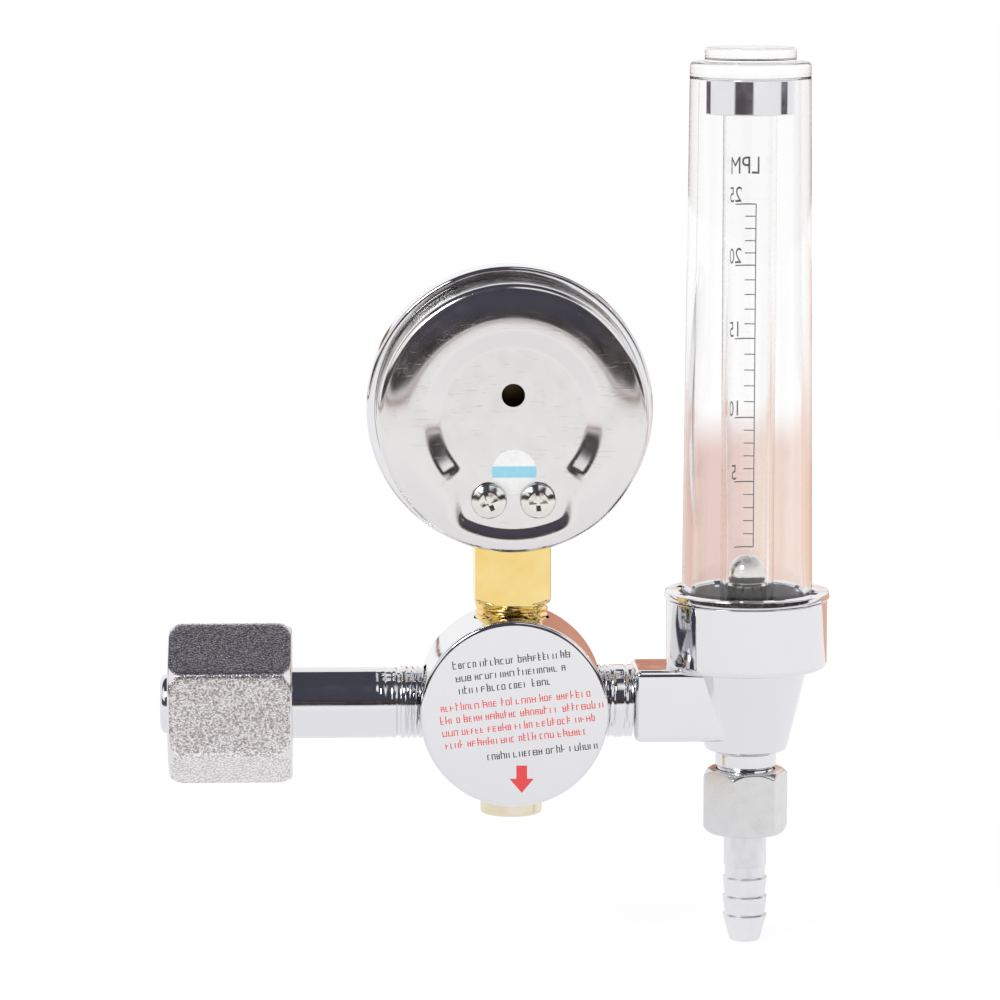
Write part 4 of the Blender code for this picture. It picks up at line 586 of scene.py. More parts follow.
def span(material, value, low, high, to_low=0.0, to_high=1.0):
    """Maps a value from one span to another and holds it there."""
    inputs = {"Value": value, "From Min": low, "From Max": high, "To Min": to_low, "To Max": to_high}
    return add_node(material, "MapRange", inputs).outputs["Result"]


def bump(material, height, depth, under=None):
    """Bump of a depth in metres, on top of another one when under is given."""
    inputs = {"Height": height, "Distance": depth, "Strength": 1.0}
    if under:
        inputs["Normal"] = under
    return add_node(material, "Bump", inputs).outputs["Normal"]


def line_noise(material, axis, at, scale=3000, detail=3.0):
    """Noise along the distance from a line, for rings left by a tool."""
    place = add_node(material, "TexCoord").outputs["Object"]
    moved = add_node(material, "VectorMath", {0: place, 1: at}, operation="SUBTRACT").outputs[0]
    keep = tuple(0 if name == axis else 1 for name in "XYZ")
    flat = add_node(material, "VectorMath", {0: moved, 1: keep}, operation="MULTIPLY").outputs[0]
    radius = add_node(material, "VectorMath", {0: flat}, operation="LENGTH").outputs["Value"]
    inputs = {"W": radius, "Scale": scale, "Detail": detail}
    return add_node(material, "TexNoise", inputs, noise_dimensions="1D").outputs["Fac"]


def vary_roughness(material, scale, detail, low, high, cut=(0.3, 0.7)):
    """Roughness that wanders between two values."""
    drive(material, "Roughness", span(material, noise(material, scale, detail), *cut, low, high))


def vary_colour(material, scale, detail, low, high, cut=(0.3, 0.7), roughness=0.5):
    """Colour that wanders between two colours."""
    share = span(material, noise(material, scale, detail, roughness=roughness), *cut)
    ramp = add_node(material, "ValToRGB", {"Fac": share})
    ramp.color_ramp.elements[0].color = (*low, 1)
    ramp.color_ramp.elements[1].color = (*high, 1)
    drive(material, "Base Color", ramp.outputs["Color"])


def grain(material, scale, detail, depth, under=None):
    """Bump of the whole surface, on top of another one when under is given."""
    drive(material, "Normal", bump(material, noise(material, scale, detail), depth, under))


# Materials


def chrome():
    """Bright chrome plate: slow waves in the polish and a faint haze."""
    look = plain("chrome", (0.8, 0.8, 0.82), 1.0, 0.06)
    vary_roughness(look, 260, 3, 0.03, 0.1, (0.35, 0.7))
    grain(look, 1300, 2, 0.000002, bump(look, noise(look, 70, 1), 0.00012))


def forged_nickel():
    """Nickel over a forged face with coarse grain."""
    look = plain("forged_nickel", (0.8, 0.79, 0.79), 1.0, 0.1)
    grain(look, 5600, 1.0, 0.00001, bump(look, noise(look, 3000, 2.0, roughness=0.6), 0.00012))
    vary_colour(look, 2100, 3, (0.42, 0.36, 0.36), (0.94, 0.92, 0.92), (0.4, 0.55), 0.7)


def turned_nickel():
    """Nickel over turned metal."""
    look = plain("turned_nickel", (0.8, 0.79, 0.8), 1.0, 0.12)
    vary_roughness(look, 400, 3, 0.07, 0.17)
    grain(look, 900, 2, 0.00001)


def satin_nickel():
    """Tumbled nickel of the small outlet nut."""
    look = plain("satin_nickel", (0.74, 0.73, 0.73), 1.0, 0.22)
    vary_roughness(look, 350, 3, 0.16, 0.3)
    grain(look, 2600, 2, 0.000012)


def pressed_steel():
    """Pressed sheet: fine rings round the gauge axis, brushing and a few scratches."""
    look = plain("pressed_steel", (0.79, 0.775, 0.77), 1.0, 0.12)
    marks = bump(look, line_noise(look, "Y", GAUGE), 0.000002)
    for scale, stretched in ((210, (1, 1, 9)), (190, (8, 1, 1.4))):
        scratches = span(look, noise(look, scale, 2, stretched), 0.66, 0.685)
        marks = bump(look, scratches, 0.000004, marks)
    grain(look, 45, 1, 0.0001, marks)
    vary_roughness(look, 240, 4, 0.1, 0.17)


def brass():
    """Milled brass with fine upright cutter lines."""
    look = plain("brass", (0.92, 0.69, 0.27), 1.0, 0.12)
    grain(look, 3200, 1, 0.000002, bump(look, noise(look, 700, 2, (3.0, 3.0, 0.15)), 0.000006))
    vary_roughness(look, 300, 3, 0.08, 0.16)
    vary_colour(look, 140, 3, (0.91, 0.66, 0.23), (0.93, 0.73, 0.33))


def aged_brass():
    """Dull unpolished brass of the gauge's movement, its colour painted dark as the shade inside the closed
    case.
    """
    look = plain("aged_brass", (0.26, 0.16, 0.08), 1.0, 0.5)
    vary_colour(look, 500, 3, (0.2, 0.12, 0.06), (0.32, 0.21, 0.11))
    grain(look, 2400, 2, 0.00001)


def pale_brass():
    """Thinly plated brass of the safety valve."""
    look = plain("pale_brass", (0.86, 0.78, 0.6), 1.0, 0.2)
    vary_roughness(look, 420, 3, 0.14, 0.28)
    vary_colour(look, 200, 3, (0.84, 0.72, 0.5), (0.86, 0.81, 0.68))


def aluminium():
    """Satin turned aluminium of the hose tail, with turning rings down its length."""
    look = plain("aluminium", (0.86, 0.86, 0.87), 1.0, 0.34)
    drive(look, "Normal", bump(look, noise(look, 1400, 2, (0.02, 0.02, 3.0)), 0.00001))
    vary_roughness(look, 500, 2, 0.28, 0.42)


def steel():
    """Bright steel of the springs, screws and ball."""
    look = plain("steel", (0.8, 0.78, 0.74), 1.0, 0.1)
    vary_roughness(look, 900, 2, 0.06, 0.15)
    grain(look, 2400, 2, 0.000006)


def clear_plastic():
    """Clear acrylic with very slow mould waves."""
    look = plain("clear_plastic", WHITE, 0.0, 0.0, {"Transmission Weight": 1.0, "IOR": 1.4})
    grain(look, 60, 1, 0.00004)
    vary_roughness(look, 300, 2, 0.0, 0.02, (0.5, 0.8))


def window():
    """Flat clear window of the gauge."""
    look = plain("window", (0.99, 0.99, 0.99), 0.0, 0.0, {"Transmission Weight": 1.0, "IOR": 1.46})
    grain(look, 30, 1, 0.00003)


def black_plastic():
    """Moulded black plastic with a fine grain."""
    look = plain("black_plastic", (0.018, 0.018, 0.019), 0.0, 0.38)
    grain(look, 3000, 2, 0.00002)
    vary_roughness(look, 250, 3, 0.32, 0.48)


def rubber():
    """Black rubber with a little dust."""
    look = plain("rubber", (0.022, 0.021, 0.021), 0.0, 0.65)
    grain(look, 1800, 3, 0.00003)
    vary_colour(look, 500, 3, (0.018, 0.018, 0.018), (0.05, 0.048, 0.046), (0.45, 0.75))


def pale_seal():
    """White sealing ring under the clear cover."""
    look = plain("pale_seal", (0.9, 0.9, 0.89), 0.0, 0.45)
    vary_colour(look, 700, 3, (0.86, 0.86, 0.85), (0.93, 0.93, 0.92))
    grain(look, 1800, 3, 0.00002)


def machined_chrome():
    """Bore of the cup, plated in the real thing, given a pale matt colour as painted light in place of its
    reflections, over tool marks.
    """
    look = plain("machined_chrome", (0.94, 0.94, 0.94), 0.0, 0.42)
    drive(look, "Normal", bump(look, line_noise(look, "Z", METER), 0.00002))
    vary_roughness(look, 400, 3, 0.36, 0.5)


def enamels():
    """Painted dial, pointer, sticker and printing inks."""
    for name, colour, roughness in (
        ("white_enamel", (0.86, 0.86, 0.85), 0.4),
        ("black_enamel", (0.02, 0.02, 0.021), 0.4),
        ("black_ink", (0.035, 0.035, 0.04), 0.6),
        ("scale_ink", (0.06, 0.06, 0.065), 0.6),
        ("red_ink", (0.9, 0.075, 0.075), 0.5),
        ("paper", (0.97, 0.97, 0.97), 0.6),
        ("blue_band", (0.36, 0.74, 0.92), 0.6),
    ):
        look = plain(name, colour, 0.0, roughness)
        vary_colour(look, 1200, 3, tuple(0.93 * part for part in colour), colour)
        grain(look, 2500, 2, 0.000006)


def dress_cad_nodes():
    """Gives every CAD node the material of its slot."""
    for part in frame["record"]["subparts"]:
        obj = frame["nodes"][part["node"]]
        obj.data.materials.clear()
        obj.data.materials.append(LOOKS[OWN_LOOKS.get(part["node"], part["material_slot"])])


def squeezed(name, node, slot, axis, fixed_end):
    """Copy of a springy CAD node with its own mesh and the material of a slot; the point of its fixed end
    is worked out but not used.
    """
    ends = [Vector(corner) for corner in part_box(node)]
    anchor = (ends[0] + ends[1]) / 2
    for i in range(3):
        if axis[i]:
            anchor[i] = ends[fixed_end][i]
    mesh = frame["nodes"][node].data.copy()
    mesh.materials.clear()
    mesh.materials.append(LOOKS[slot])
    piece = linked(name, mesh)
    dress(piece, slot, node)
    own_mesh(piece)


def springs_and_diaphragm():
    out, up = (0, 1, 0), (0, 0, 1)
    squeezed("coiled_range_spring", "range_spring", "steel", out, 1)
    squeezed("coiled_relief_spring", "relief_spring", "steel", up, 0)
    squeezed("flexed_diaphragm", "diaphragm", "rubber", out, 1)


# Inlet side


def hexagon(node, axis, at, flats, length, end_r, chamfer, turn, bore, looks, thread=None):
    """Hex nut with soft corners and turned ends. looks holds its flats and turned materials."""
    corner = flats / sqrt(3)
    slope = (corner - end_r) / chamfer
    edge = 0.0004

    def flat_reach(angle):
        return polygon_reach(angle, 6, flats, turn, 60)

    def shape(angle, radius, along):
        if radius < OUTSIDE / 2:
            return thread(angle, radius, along) if thread else radius
        near = min(along, length - along)
        reach = soft_least(flat_reach(angle), end_r + slope * near)
        if near < edge:
            reach -= edge - sqrt(edge * edge - (edge - near) ** 2)
        return reach

    near = [edge * (1 - cos(radians(part))) for part in (0, 30, 50, 70, 90)]
    near += [edge + (1.6 * chamfer - edge) * (i + 1) / 10 for i in range(10)]
    middle = [length * share for share in (0.25, 0.4, 0.5, 0.6, 0.75)]
    heights = near + middle + [length - part for part in reversed(near)]
    profile = bore + [(OUTSIDE, height) for height in heights]
    nut = lathe(f"hex_{node}", profile, axis, at, looks[0], 240, shape, 35)

    def is_turned(centre):
        along, across, up = centre - Vector(at)
        if axis == "Z":
            across, up, along = along, across, up
        flat = flat_reach(atan2(up, across))
        return hypot(across, up) < 0.985 * flat or not edge < along < length - edge

    second_look(nut, looks[1], is_turned)
    dress(nut, "satin_nickel", node, body=node)


def inlet_nut():
    bore = [(STEM_R + SEAT, NUT_LENGTH), (STEM_R + SEAT, NUT_THREAD_DEPTH)]
    bore += stretch(NUT_THREAD_R, NUT_THREAD_DEPTH, NUT_MOUTH, 0.00023)
    bore += [(NUT_THREAD_R + NUT_MOUTH, 0.0)]
    thread = ripple(NUT_MOUTH, NUT_THREAD_DEPTH, NUT_THREAD_R * 0.99, NUT_PITCH, 0.0008, True)
    looks = ("forged_nickel", "turned_nickel")
    sizes = (NUT_FLATS, NUT_LENGTH, NUT_END_R, NUT_CHAMFER)
    hexagon("inlet_nut", "X", INLET, *sizes, 0.0, bore, looks, thread)


def inlet_stem():
    """Bullet nose, collar, two shallow grooves, and a thread after its run-out."""
    end = BODY_X - PORT_BOTTOM - SEAT
    back = NUT_THREAD_DEPTH - SEAT
    front = back - COLLAR_LENGTH
    profile = rounded(
        (STEM_BORE_R, -NOSE_REACH, FINE), (NOSE_R, -NOSE_REACH, NOSE_ROUND), (NOSE_R, front),
        (COLLAR_R, front, FINE), (COLLAR_R, back, FINE), (STEM_R, back),
        (STEM_R, 0.0465, HAIR), (STEM_R - 0.00008, 0.0468),
        (STEM_R - 0.00008, 0.0473), (STEM_R, 0.0476, HAIR),
        (STEM_R, 0.0484, FINE), (STEM_R - 0.00012, 0.0488, FINE),
        (STEM_R - 0.00012, 0.0499, FINE), (STEM_R, 0.0502, HAIR),
        (STEM_R, 0.0509, HAIR), (STEM_R - 0.0004, 0.0513), (STEM_R - 0.0004, 0.0519),
        parts=5,
    )
    profile += stretch(THREAD_R, STEM_THREAD, end - SOFT)
    profile += [(THREAD_R - SOFT, end), (STEM_BORE_R, end)]
    thread = ripple(STEM_THREAD, end, THREAD_R * 0.999)
    turned("turned_inlet_stem", "inlet_stem", "chrome", profile, "X", INLET, 144, shape=thread, sharp=30)


# Regulator body


def regulator_body():
    profile = rounded(
        (0, -BODY_BACK), (BODY_R, -BODY_BACK, BODY_EDGE), (BODY_R, BODY_FRONT, BODY_EDGE),
        (COUNTERBORE_R, BODY_FRONT, EDGE), (COUNTERBORE_R, DIAPHRAGM_Y),
        (LOW_CHAMBER_R, DIAPHRAGM_Y), (LOW_CHAMBER_R, LOW_CHAMBER_Y),
        (HIGH_CHAMBER_R, LOW_CHAMBER_Y), (HIGH_CHAMBER_R, HIGH_CHAMBER_Y), (0, HIGH_CHAMBER_Y),
        parts=6,
    )
    body = lathe("disc_body", profile, "Y", MIDDLE, "chrome", 288)
    port = THREAD_R + SEAT
    out = BODY_R + 0.0004
    seat = BODY_R - RELIEF_SPOTFACE
    low = (BODY_X, RELIEF_Y, 0)
    cutters = [
        rod("gauge_port", "Z", MIDDLE, port, PORT_BOTTOM, out, 0.0004),
        rod("outlet_port", "X", MIDDLE, port, PORT_BOTTOM, out, 0.0004),
        rod("inlet_port", "X", MIDDLE, port, -out, -PORT_BOTTOM),
        rod("relief_seat", "Z", low, RELIEF_CAP_R + SEAT, -out, -seat),
        rod("relief_port", "Z", low, RELIEF_THREAD_R + SEAT, -out, SEAT - seat + RELIEF_THREAD),
    ]
    carve(body, cutters)
    dress(body, "chrome", "regulator_body")


def bonnet():
    seat = BODY_FRONT + SEAT
    end = seat + BONNET_LENGTH
    shoulder = seat + BONNET_COLLAR
    inside = end - BONNET_END
    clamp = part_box("bonnet")[0].y
    hole = PRESET_SCREW_R + SEAT
    profile = rounded(
        (hole, end, FINE), (BONNET_R, end, BONNET_DOME), (BONNET_R, shoulder, 0.0004),
        (BONNET_COLLAR_R, shoulder, SOFT), (BONNET_COLLAR_R, seat, EDGE),
        (COUNTERBORE_R - SEAT, seat), (COUNTERBORE_R - SEAT, clamp),
        (LOW_CHAMBER_R, clamp), (LOW_CHAMBER_R, inside), (hole, inside),
        parts=8,
    )
    turned("domed_bonnet", "bonnet", "chrome", profile, "Y", MIDDLE, 224)
    top = end + PRESET_SCREW_PROUD
    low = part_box("preset_screw")[0].y
    profile = rounded((0, top), (PRESET_SCREW_R, top, SOFT), (PRESET_SCREW_R, low), (0, low))
    screw = lathe("slotted_preset_screw", profile, "Y", MIDDLE, "brass", 96)
    half = PRESET_SLOT / 2
    reach = PRESET_SCREW_R * 1.2
    floor_y = top - 1.5 * PRESET_SLOT
    carve(screw, [brick("slot", (BODY_X - reach, floor_y, -half), (BODY_X + reach, top + half, half))])
    dress(screw, "brass", "preset_screw")


def safety_valve():
    seat = -(BODY_R - RELIEF_SPOTFACE) - SEAT
    top = seat + RELIEF_THREAD
    bottom = -BODY_R - RELIEF_PROUD
    inside = bottom + RELIEF_FLOOR
    profile = rounded(
        (RELIEF_BORE_R, top), (RELIEF_THREAD_R, top), (RELIEF_THREAD_R, seat),
        (RELIEF_CAP_R, seat, FINE), (RELIEF_CAP_R, bottom, 0.0007),
        (RELIEF_VENT_R, bottom, EDGE), (RELIEF_VENT_R, inside), (RELIEF_BORE_R, inside),
        parts=5,
    )
    turned("relief_cap", "relief_body", "brass", profile, "Z", (BODY_X, RELIEF_Y, 0), look="pale_brass")


# Gauge


def gauge_socket():
    """Square brass block with a turned lower chamfer and a threaded foot."""
    corner = SOCKET_FLATS / sqrt(2)
    slope = (corner - SOCKET_CHAMFER_R) / SOCKET_CHAMFER
    thread = ripple(FOOT_LOW, SOCKET_LOW, THREAD_R * 0.99)

    def shape(angle, radius, along):
        if radius < OUTSIDE / 2:
            return thread(angle, radius, along)
        cone = SOCKET_CHAMFER_R + slope * (along - SOCKET_LOW)
        return soft_least(polygon_reach(angle, 4, SOCKET_FLATS, 0.0, 26), cone, 60)

    profile = [(0, FOOT_LOW), (THREAD_R - SOFT, FOOT_LOW)]
    profile += stretch(THREAD_R, FOOT_LOW + SOFT, SOCKET_LOW)
    profile += stretch(OUTSIDE, SOCKET_LOW, SOCKET_LOW + 2 * SOCKET_CHAMFER, FINE)
    profile += stretch(OUTSIDE, SOCKET_LOW + 3 * SOCKET_CHAMFER, SOCKET_HIGH, 0.004)
    profile += [(0, SOCKET_HIGH)]
    turned("brass_socket", "gauge_socket", "brass", profile, "Z", MIDDLE, 192, shape=shape, sharp=35)


def recess_reach(angle, radius, half_width, foot_radius):
    """How far out the keyhole recess reaches at an angle measured from straight down."""
    side = abs(sin(angle))
    if cos(angle) <= 0 or side * radius >= half_width * 0.999:
        return radius
    flank = half_width / max(side, 1e-9)
    return max(radius, soft_least(foot_radius, flank, 24))


def press(share):
    """Height of a pressed slope with rounded ends, for a share from 0 to 1."""
    bend = 0.22
    if share < bend:
        return share * share / (2 * bend * (1 - bend))
    if share > 1 - bend:
        return 1 - (1 - share) ** 2 / (2 * bend * (1 - bend))
    return (share - bend / 2) / (1 - bend)


def case_rings(bm, steps):
    """Rings of the pressed back from the middle to the open front."""
    back_y = RECESS_Y - RECESS_DEPTH
    inner = CASE_R - CASE_CORNER
    slope, foot_slope = RECESS_SLOPE, RECESS_FOOT_SLOPE
    rings = [[bm.verts.new((BODY_X, RECESS_Y, GAUGE_Z))]]

    def crown(radius):
        share = max(0.0, (radius - CASE_CROWN_R) / (inner - CASE_CROWN_R))
        return back_y + CASE_CROWN * share**1.5

    def ring(radius_of, depth_of):
        rings.append([])
        for i in range(steps):
            angle = 2 * pi * i / steps
            radius = radius_of(angle)
            x = BODY_X + radius * sin(angle)
            rings[-1].append(bm.verts.new((x, depth_of(radius), GAUGE_Z - radius * cos(angle))))

    def near(angle):
        return recess_reach(angle, RECESS_R, RECESS_HALF_WIDTH, RECESS_FOOT_R)

    def far(angle):
        foot = RECESS_FOOT_R + foot_slope
        return recess_reach(angle, RECESS_R + slope, RECESS_HALF_WIDTH + slope, foot)

    for share in (0.2, 0.4, 0.6, 0.8):
        ring(lambda a: near(a) * share, lambda r: RECESS_Y)
    for i in range(15):
        share = i / 14
        rise = press(share)
        ring(
            lambda a: near(a) + (far(a) - near(a)) * share,
            lambda r: RECESS_Y + (crown(r) - RECESS_Y) * rise,
        )
    for i in range(1, 10):
        ring(lambda a: far(a) + (inner - far(a)) * (i / 9), crown)
    for i in range(1, 9):
        turn = pi / 2 * i / 8
        radius = inner + CASE_CORNER * sin(turn)
        depth = back_y + CASE_CROWN + CASE_CORNER * (1 - cos(turn))
        ring(lambda a: radius, lambda r: depth)
    for depth in (0.0, CASE_FRONT * 0.5, CASE_FRONT):
        ring(lambda a: CASE_R, lambda r: depth)
    return rings


def screw_place(side, y):
    """Axis point of the left (-1) or right (1) case screw."""
    return (BODY_X + side * CASE_SCREW_APART / 2, y, GAUGE_Z - CASE_SCREW_BELOW)


def gauge_case():
    bm = bmesh.new()
    join_all(bm, case_rings(bm, 240))
    case = made("pressed_case", bm, "pressed_steel", 60)
    if any(face.normal.y > 0.9 for face in case.data.polygons):
        case.data.flip_normals()
    sheet = case.modifiers.new("sheet", "SOLIDIFY")
    sheet.thickness = CASE_WALL
    sheet.offset = -1
    sheet.use_even_offset = True
    half = SOCKET_FLATS / 2 + SEAT
    low, high = GAUGE_Z - CASE_R - CASE_CORNER, GAUGE_Z - CASE_R + CASE_NOTCH
    cutters = [
        rod("vent", "Y", (BODY_X, 0, GAUGE_Z + VENT_ABOVE), VENT_R, -CASE_R, 0.0),
        brick("case_notch", (BODY_X - half, -half, low), (BODY_X + half, half, high)),
    ]
    for side in (-1, 1):
        cutters.append(rod("case_hole", "Y", screw_place(side, 0), CASE_SCREW_R + SEAT, -CASE_R, 0.0))
    carve(case, cutters, sharp=50)
    dress(case, "pressed_steel", "gauge_case")


def cross_wing(at, turn):
    """Tapered cutter for one bar of a cross recess. It is sunk along +Y from at."""
    bm = bmesh.new()
    rings = []
    for wide, tall, y in ((1.0, 1.0, -1), (1.0, 1.0, 0), (0.45, 0.6, 1)):
        rings.append([])
        for side, up in ((-wide, -tall), (wide, -tall), (wide, tall), (-wide, tall)):
            side, up = side * CROSS_REACH, up * CROSS_SLOT / 2
            x = side * cos(turn) - up * sin(turn)
            z = side * sin(turn) + up * cos(turn)
            rings[-1].append(bm.verts.new((at[0] + x, at[1] + y * CROSS_DEPTH, at[2] + z)))
    join_all(bm, rings)
    bm.faces.new(rings[0])
    bm.faces.new(rings[-1])
    return made("cross_wing", bm, None)


def case_screws():
    """Pan-head screws with cross recesses, each stopped at its own angle."""
    head, head_r = CASE_SCREW_HEAD, CASE_SCREW_HEAD_R
    face = RECESS_Y - SEAT
    profile = rounded(
        (0, -head), (head_r * 0.55, -head * 0.96, 0.001), (head_r * 0.96, -head * 0.62, 0.001),
        (head_r, 0, FINE), (CASE_SCREW_R, 0),
        (CASE_SCREW_R, CASE_SCREW_LENGTH, FINE), (0, CASE_SCREW_LENGTH),
        parts=6,
    )
    for side, (word, turn) in zip((-1, 1), CASE_SCREW_TURNS.items()):
        screw = lathe(f"cross_screw_{word}", profile, "Y", screw_place(side, face), "steel", 96)
        top = screw_place(side, face - head)
        carve(screw, [cross_wing(top, radians(turn + more)) for more in (0, 90)], sharp=30)
        dress(screw, "steel", f"case_screw_{word}")


def gauge_bezel():
    bore = CASE_R + SEAT
    profile = rounded(
        (BEZEL_LIP_R, BEZEL_FRONT, 0.0007), (BEZEL_R, BEZEL_FRONT, BEZEL_ROUND),
        (BEZEL_R, BEZEL_BACK, 0.0017),
        (bore, BEZEL_BACK, FINE), (bore, BEZEL_LIP_LOW), (BEZEL_LIP_R, BEZEL_LIP_LOW, FINE),
        parts=8,
    )
    turned("turned_bezel", "gauge_bezel", "chrome", profile, "Y", GAUGE, 256)
    low, high = WINDOW_LOW, WINDOW_HIGH
    profile = rounded((0, low), (CASE_R, low, EDGE), (CASE_R, high, EDGE), (0, high))
    turned("gauge_glass", "gauge_window", "window", profile, "Y", GAUGE, 192)


def dial_direction(share):
    """Direction on the dial, from zero at lower left to full at lower right, seen from the front."""
    angle = radians(225 - 270 * share)
    return Vector((-cos(angle), 0, sin(angle)))


def letters(bm, words, size, narrow, put):
    """Adds a centred text to a bmesh. put turns its own (x, y) into a point in the scene."""
    curve = bpy.data.curves.new("words", "FONT")
    curve.body = words
    curve.size = size
    curve.align_x = "CENTER"
    curve.align_y = "CENTER"
    curve.resolution_u = 3
    obj = linked("words", curve)
    graph = bpy.context.evaluated_depsgraph_get()
    mesh = bpy.data.meshes.new_from_object(obj.evaluated_get(graph))
    verts = [bm.verts.new(put(vert.co.x * narrow, vert.co.y)) for vert in mesh.vertices]
    for face in mesh.polygons:
        bm.faces.new([verts[i] for i in face.vertices])
    bpy.data.objects.remove(obj)
    bpy.data.curves.remove(curve)
    bpy.data.meshes.remove(mesh)


def dial_arc(bm, centre, radius, start, parts, width, lift):
    """Printed arc from a share of the dial's scale to its end."""
    for i in range(parts):
        first = dial_direction(start + (1 - start) * i / parts) * radius
        second = dial_direction(start + (1 - start) * (i + 1.05) / parts) * radius
        flat_bar(bm, centre + first, centre + second, width, lift)


def gauge_dial():
    low, high = DIAL_LOW, DIAL_HIGH
    bore = DIAL_BORE_R
    profile = rounded((bore, low), (DIAL_R, low, HAIR), (DIAL_R, high, HAIR), (bore, high))
    turned("enamel_dial", "gauge_dial", "white_enamel", profile, "Y", GAUGE, 192)
    centre = Vector((BODY_X, DIAL_HIGH + PRINT_LIFT, GAUGE_Z))
    lift = Vector((0, PRINT_LIFT, 0))
    bm = bmesh.new()
    for i in range(51):
        direction = dial_direction(i / 50)
        major = i % 10 == 0
        inner = DIAL_MAJOR_R if major else DIAL_MIDDLE_R if i % 5 == 0 else DIAL_MINOR_R
        width = 0.0005 if major else 0.00025
        flat_bar(bm, centre + direction * inner, centre + direction * DIAL_TICK_R, width, lift)
    dial_arc(bm, centre, DIAL_TICK_R, 0.0, 120, 0.0003, lift)
    for i in range(6):
        middle = centre + dial_direction(i / 5) * DIAL_FIGURE_R
        letters(bm, str(5 * i), DIAL_FIGURE, 0.9, lambda x, y: middle + Vector((-x, 0, y)))
    letters(bm, "MPa", DIAL_UNIT, 0.95, lambda x, y: centre + Vector((-x, 0, y - DIAL_UNIT_BELOW)))
    dress(made("dial_print", bm, "black_ink"), "black_enamel")
    bm = bmesh.new()
    dial_arc(bm, centre, DIAL_ZONE_R, 0.8, 40, 0.0009, lift)
    dress(made("dial_red_zone", bm, "red_ink"), "black_enamel")


def gauge_pointer():
    """Blade from tail to tip, given as distance along and half width, and a hub."""
    direction = dial_direction(0.0)
    across = direction.cross(Vector((0, 1, 0)))
    centre = Vector((BODY_X, POINTER_Y, GAUGE_Z))
    outline = (
        (-POINTER_TAIL, 0.0013), (-POINTER_TAIL * 0.55, 0.0015), (-0.002, 0.0007),
        (0.002, 0.0009), (POINTER_LENGTH * 0.8, 0.0004), (POINTER_LENGTH, HAIR),
    )
    points = [centre + direction * a + across * w for a, w in outline]
    points += [centre + direction * a - across * w for a, w in reversed(outline)]
    bm = bmesh.new()
    slab(bm, points, Vector((0, POINTER_THICK, 0)))
    blade = made("pointer_blade", bm, "black_enamel")
    dress(blade, "black_enamel", "gauge_pointer", body="pointer")
    low, high = (corner.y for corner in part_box("gauge_pointer"))
    profile = rounded((0, low), (POINTER_HUB_R, low, FINE), (POINTER_HUB_R, high, EDGE), (0, high))
    hub = lathe("pointer_hub", profile, "Y", GAUGE, "black_enamel", 64)
    dress(hub, "black_enamel", body="pointer")


def sticker():
    """Small white inspection disc with a plain blue band."""
    at = (BODY_X + FINE, 0, GAUGE_Z - STICKER_BELOW)
    low = RECESS_Y - 0.00002
    high = low - STICKER_THICK
    profile = [(0, low), (STICKER_R, low), (STICKER_R, high), (0, high)]
    dress(lathe("round_sticker", profile, "Y", at, "paper", 96), "white_enamel")
    points = []
    for side in (1, -1):
        for i in range(9):
            z = side * STICKER_BAND / 2 * (2 * i / 8 - 1)
            x = side * sqrt(STICKER_R**2 - z * z) * 0.995
            points.append(Vector((at[0] + x, high, at[2] + z)))
    bm = bmesh.new()
    slab(bm, points, Vector((0, -PRINT_LIFT, 0)))
    dress(made("sticker_band", bm, "blue_band"), "white_enamel")


# Outlet nipple and flowmeter


def outlet_nipple():
    """Two lengths of thread with a plain ring between them."""
    low = PORT_BOTTOM + SEAT
    face = ARM_X - BODY_X - SEAT
    plain_low, plain_high = face - NIPPLE_PLAIN_LOW, face - NIPPLE_PLAIN_HIGH
    profile = [(NIPPLE_BORE_R, low), (THREAD_R - SOFT, low)]
    profile += stretch(THREAD_R, low + SOFT, face)
    profile += [(NIPPLE_TAIL_R, face), (NIPPLE_TAIL_R, face + NIPPLE_TAIL)]
    profile += [(NIPPLE_BORE_R, face + NIPPLE_TAIL)]
    first = ripple(low, plain_low, THREAD_R * 0.999)
    second = ripple(plain_high, face, THREAD_R * 0.999)

    def shape(angle, radius, along):
        return second(angle, radius, along) if along > plain_high else first(angle, radius, along)

    turned("threaded_nipple", "outlet_nipple", "chrome", profile, "X", MIDDLE, 144, shape=shape, sharp=30)


def within_bore(radius, low, high):
    """Test for face centres inside a bore round the flowmeter's axis."""
    return lambda c: hypot(c.x - FLOW_X, c.y) < radius + HAIR and low < c.z < high


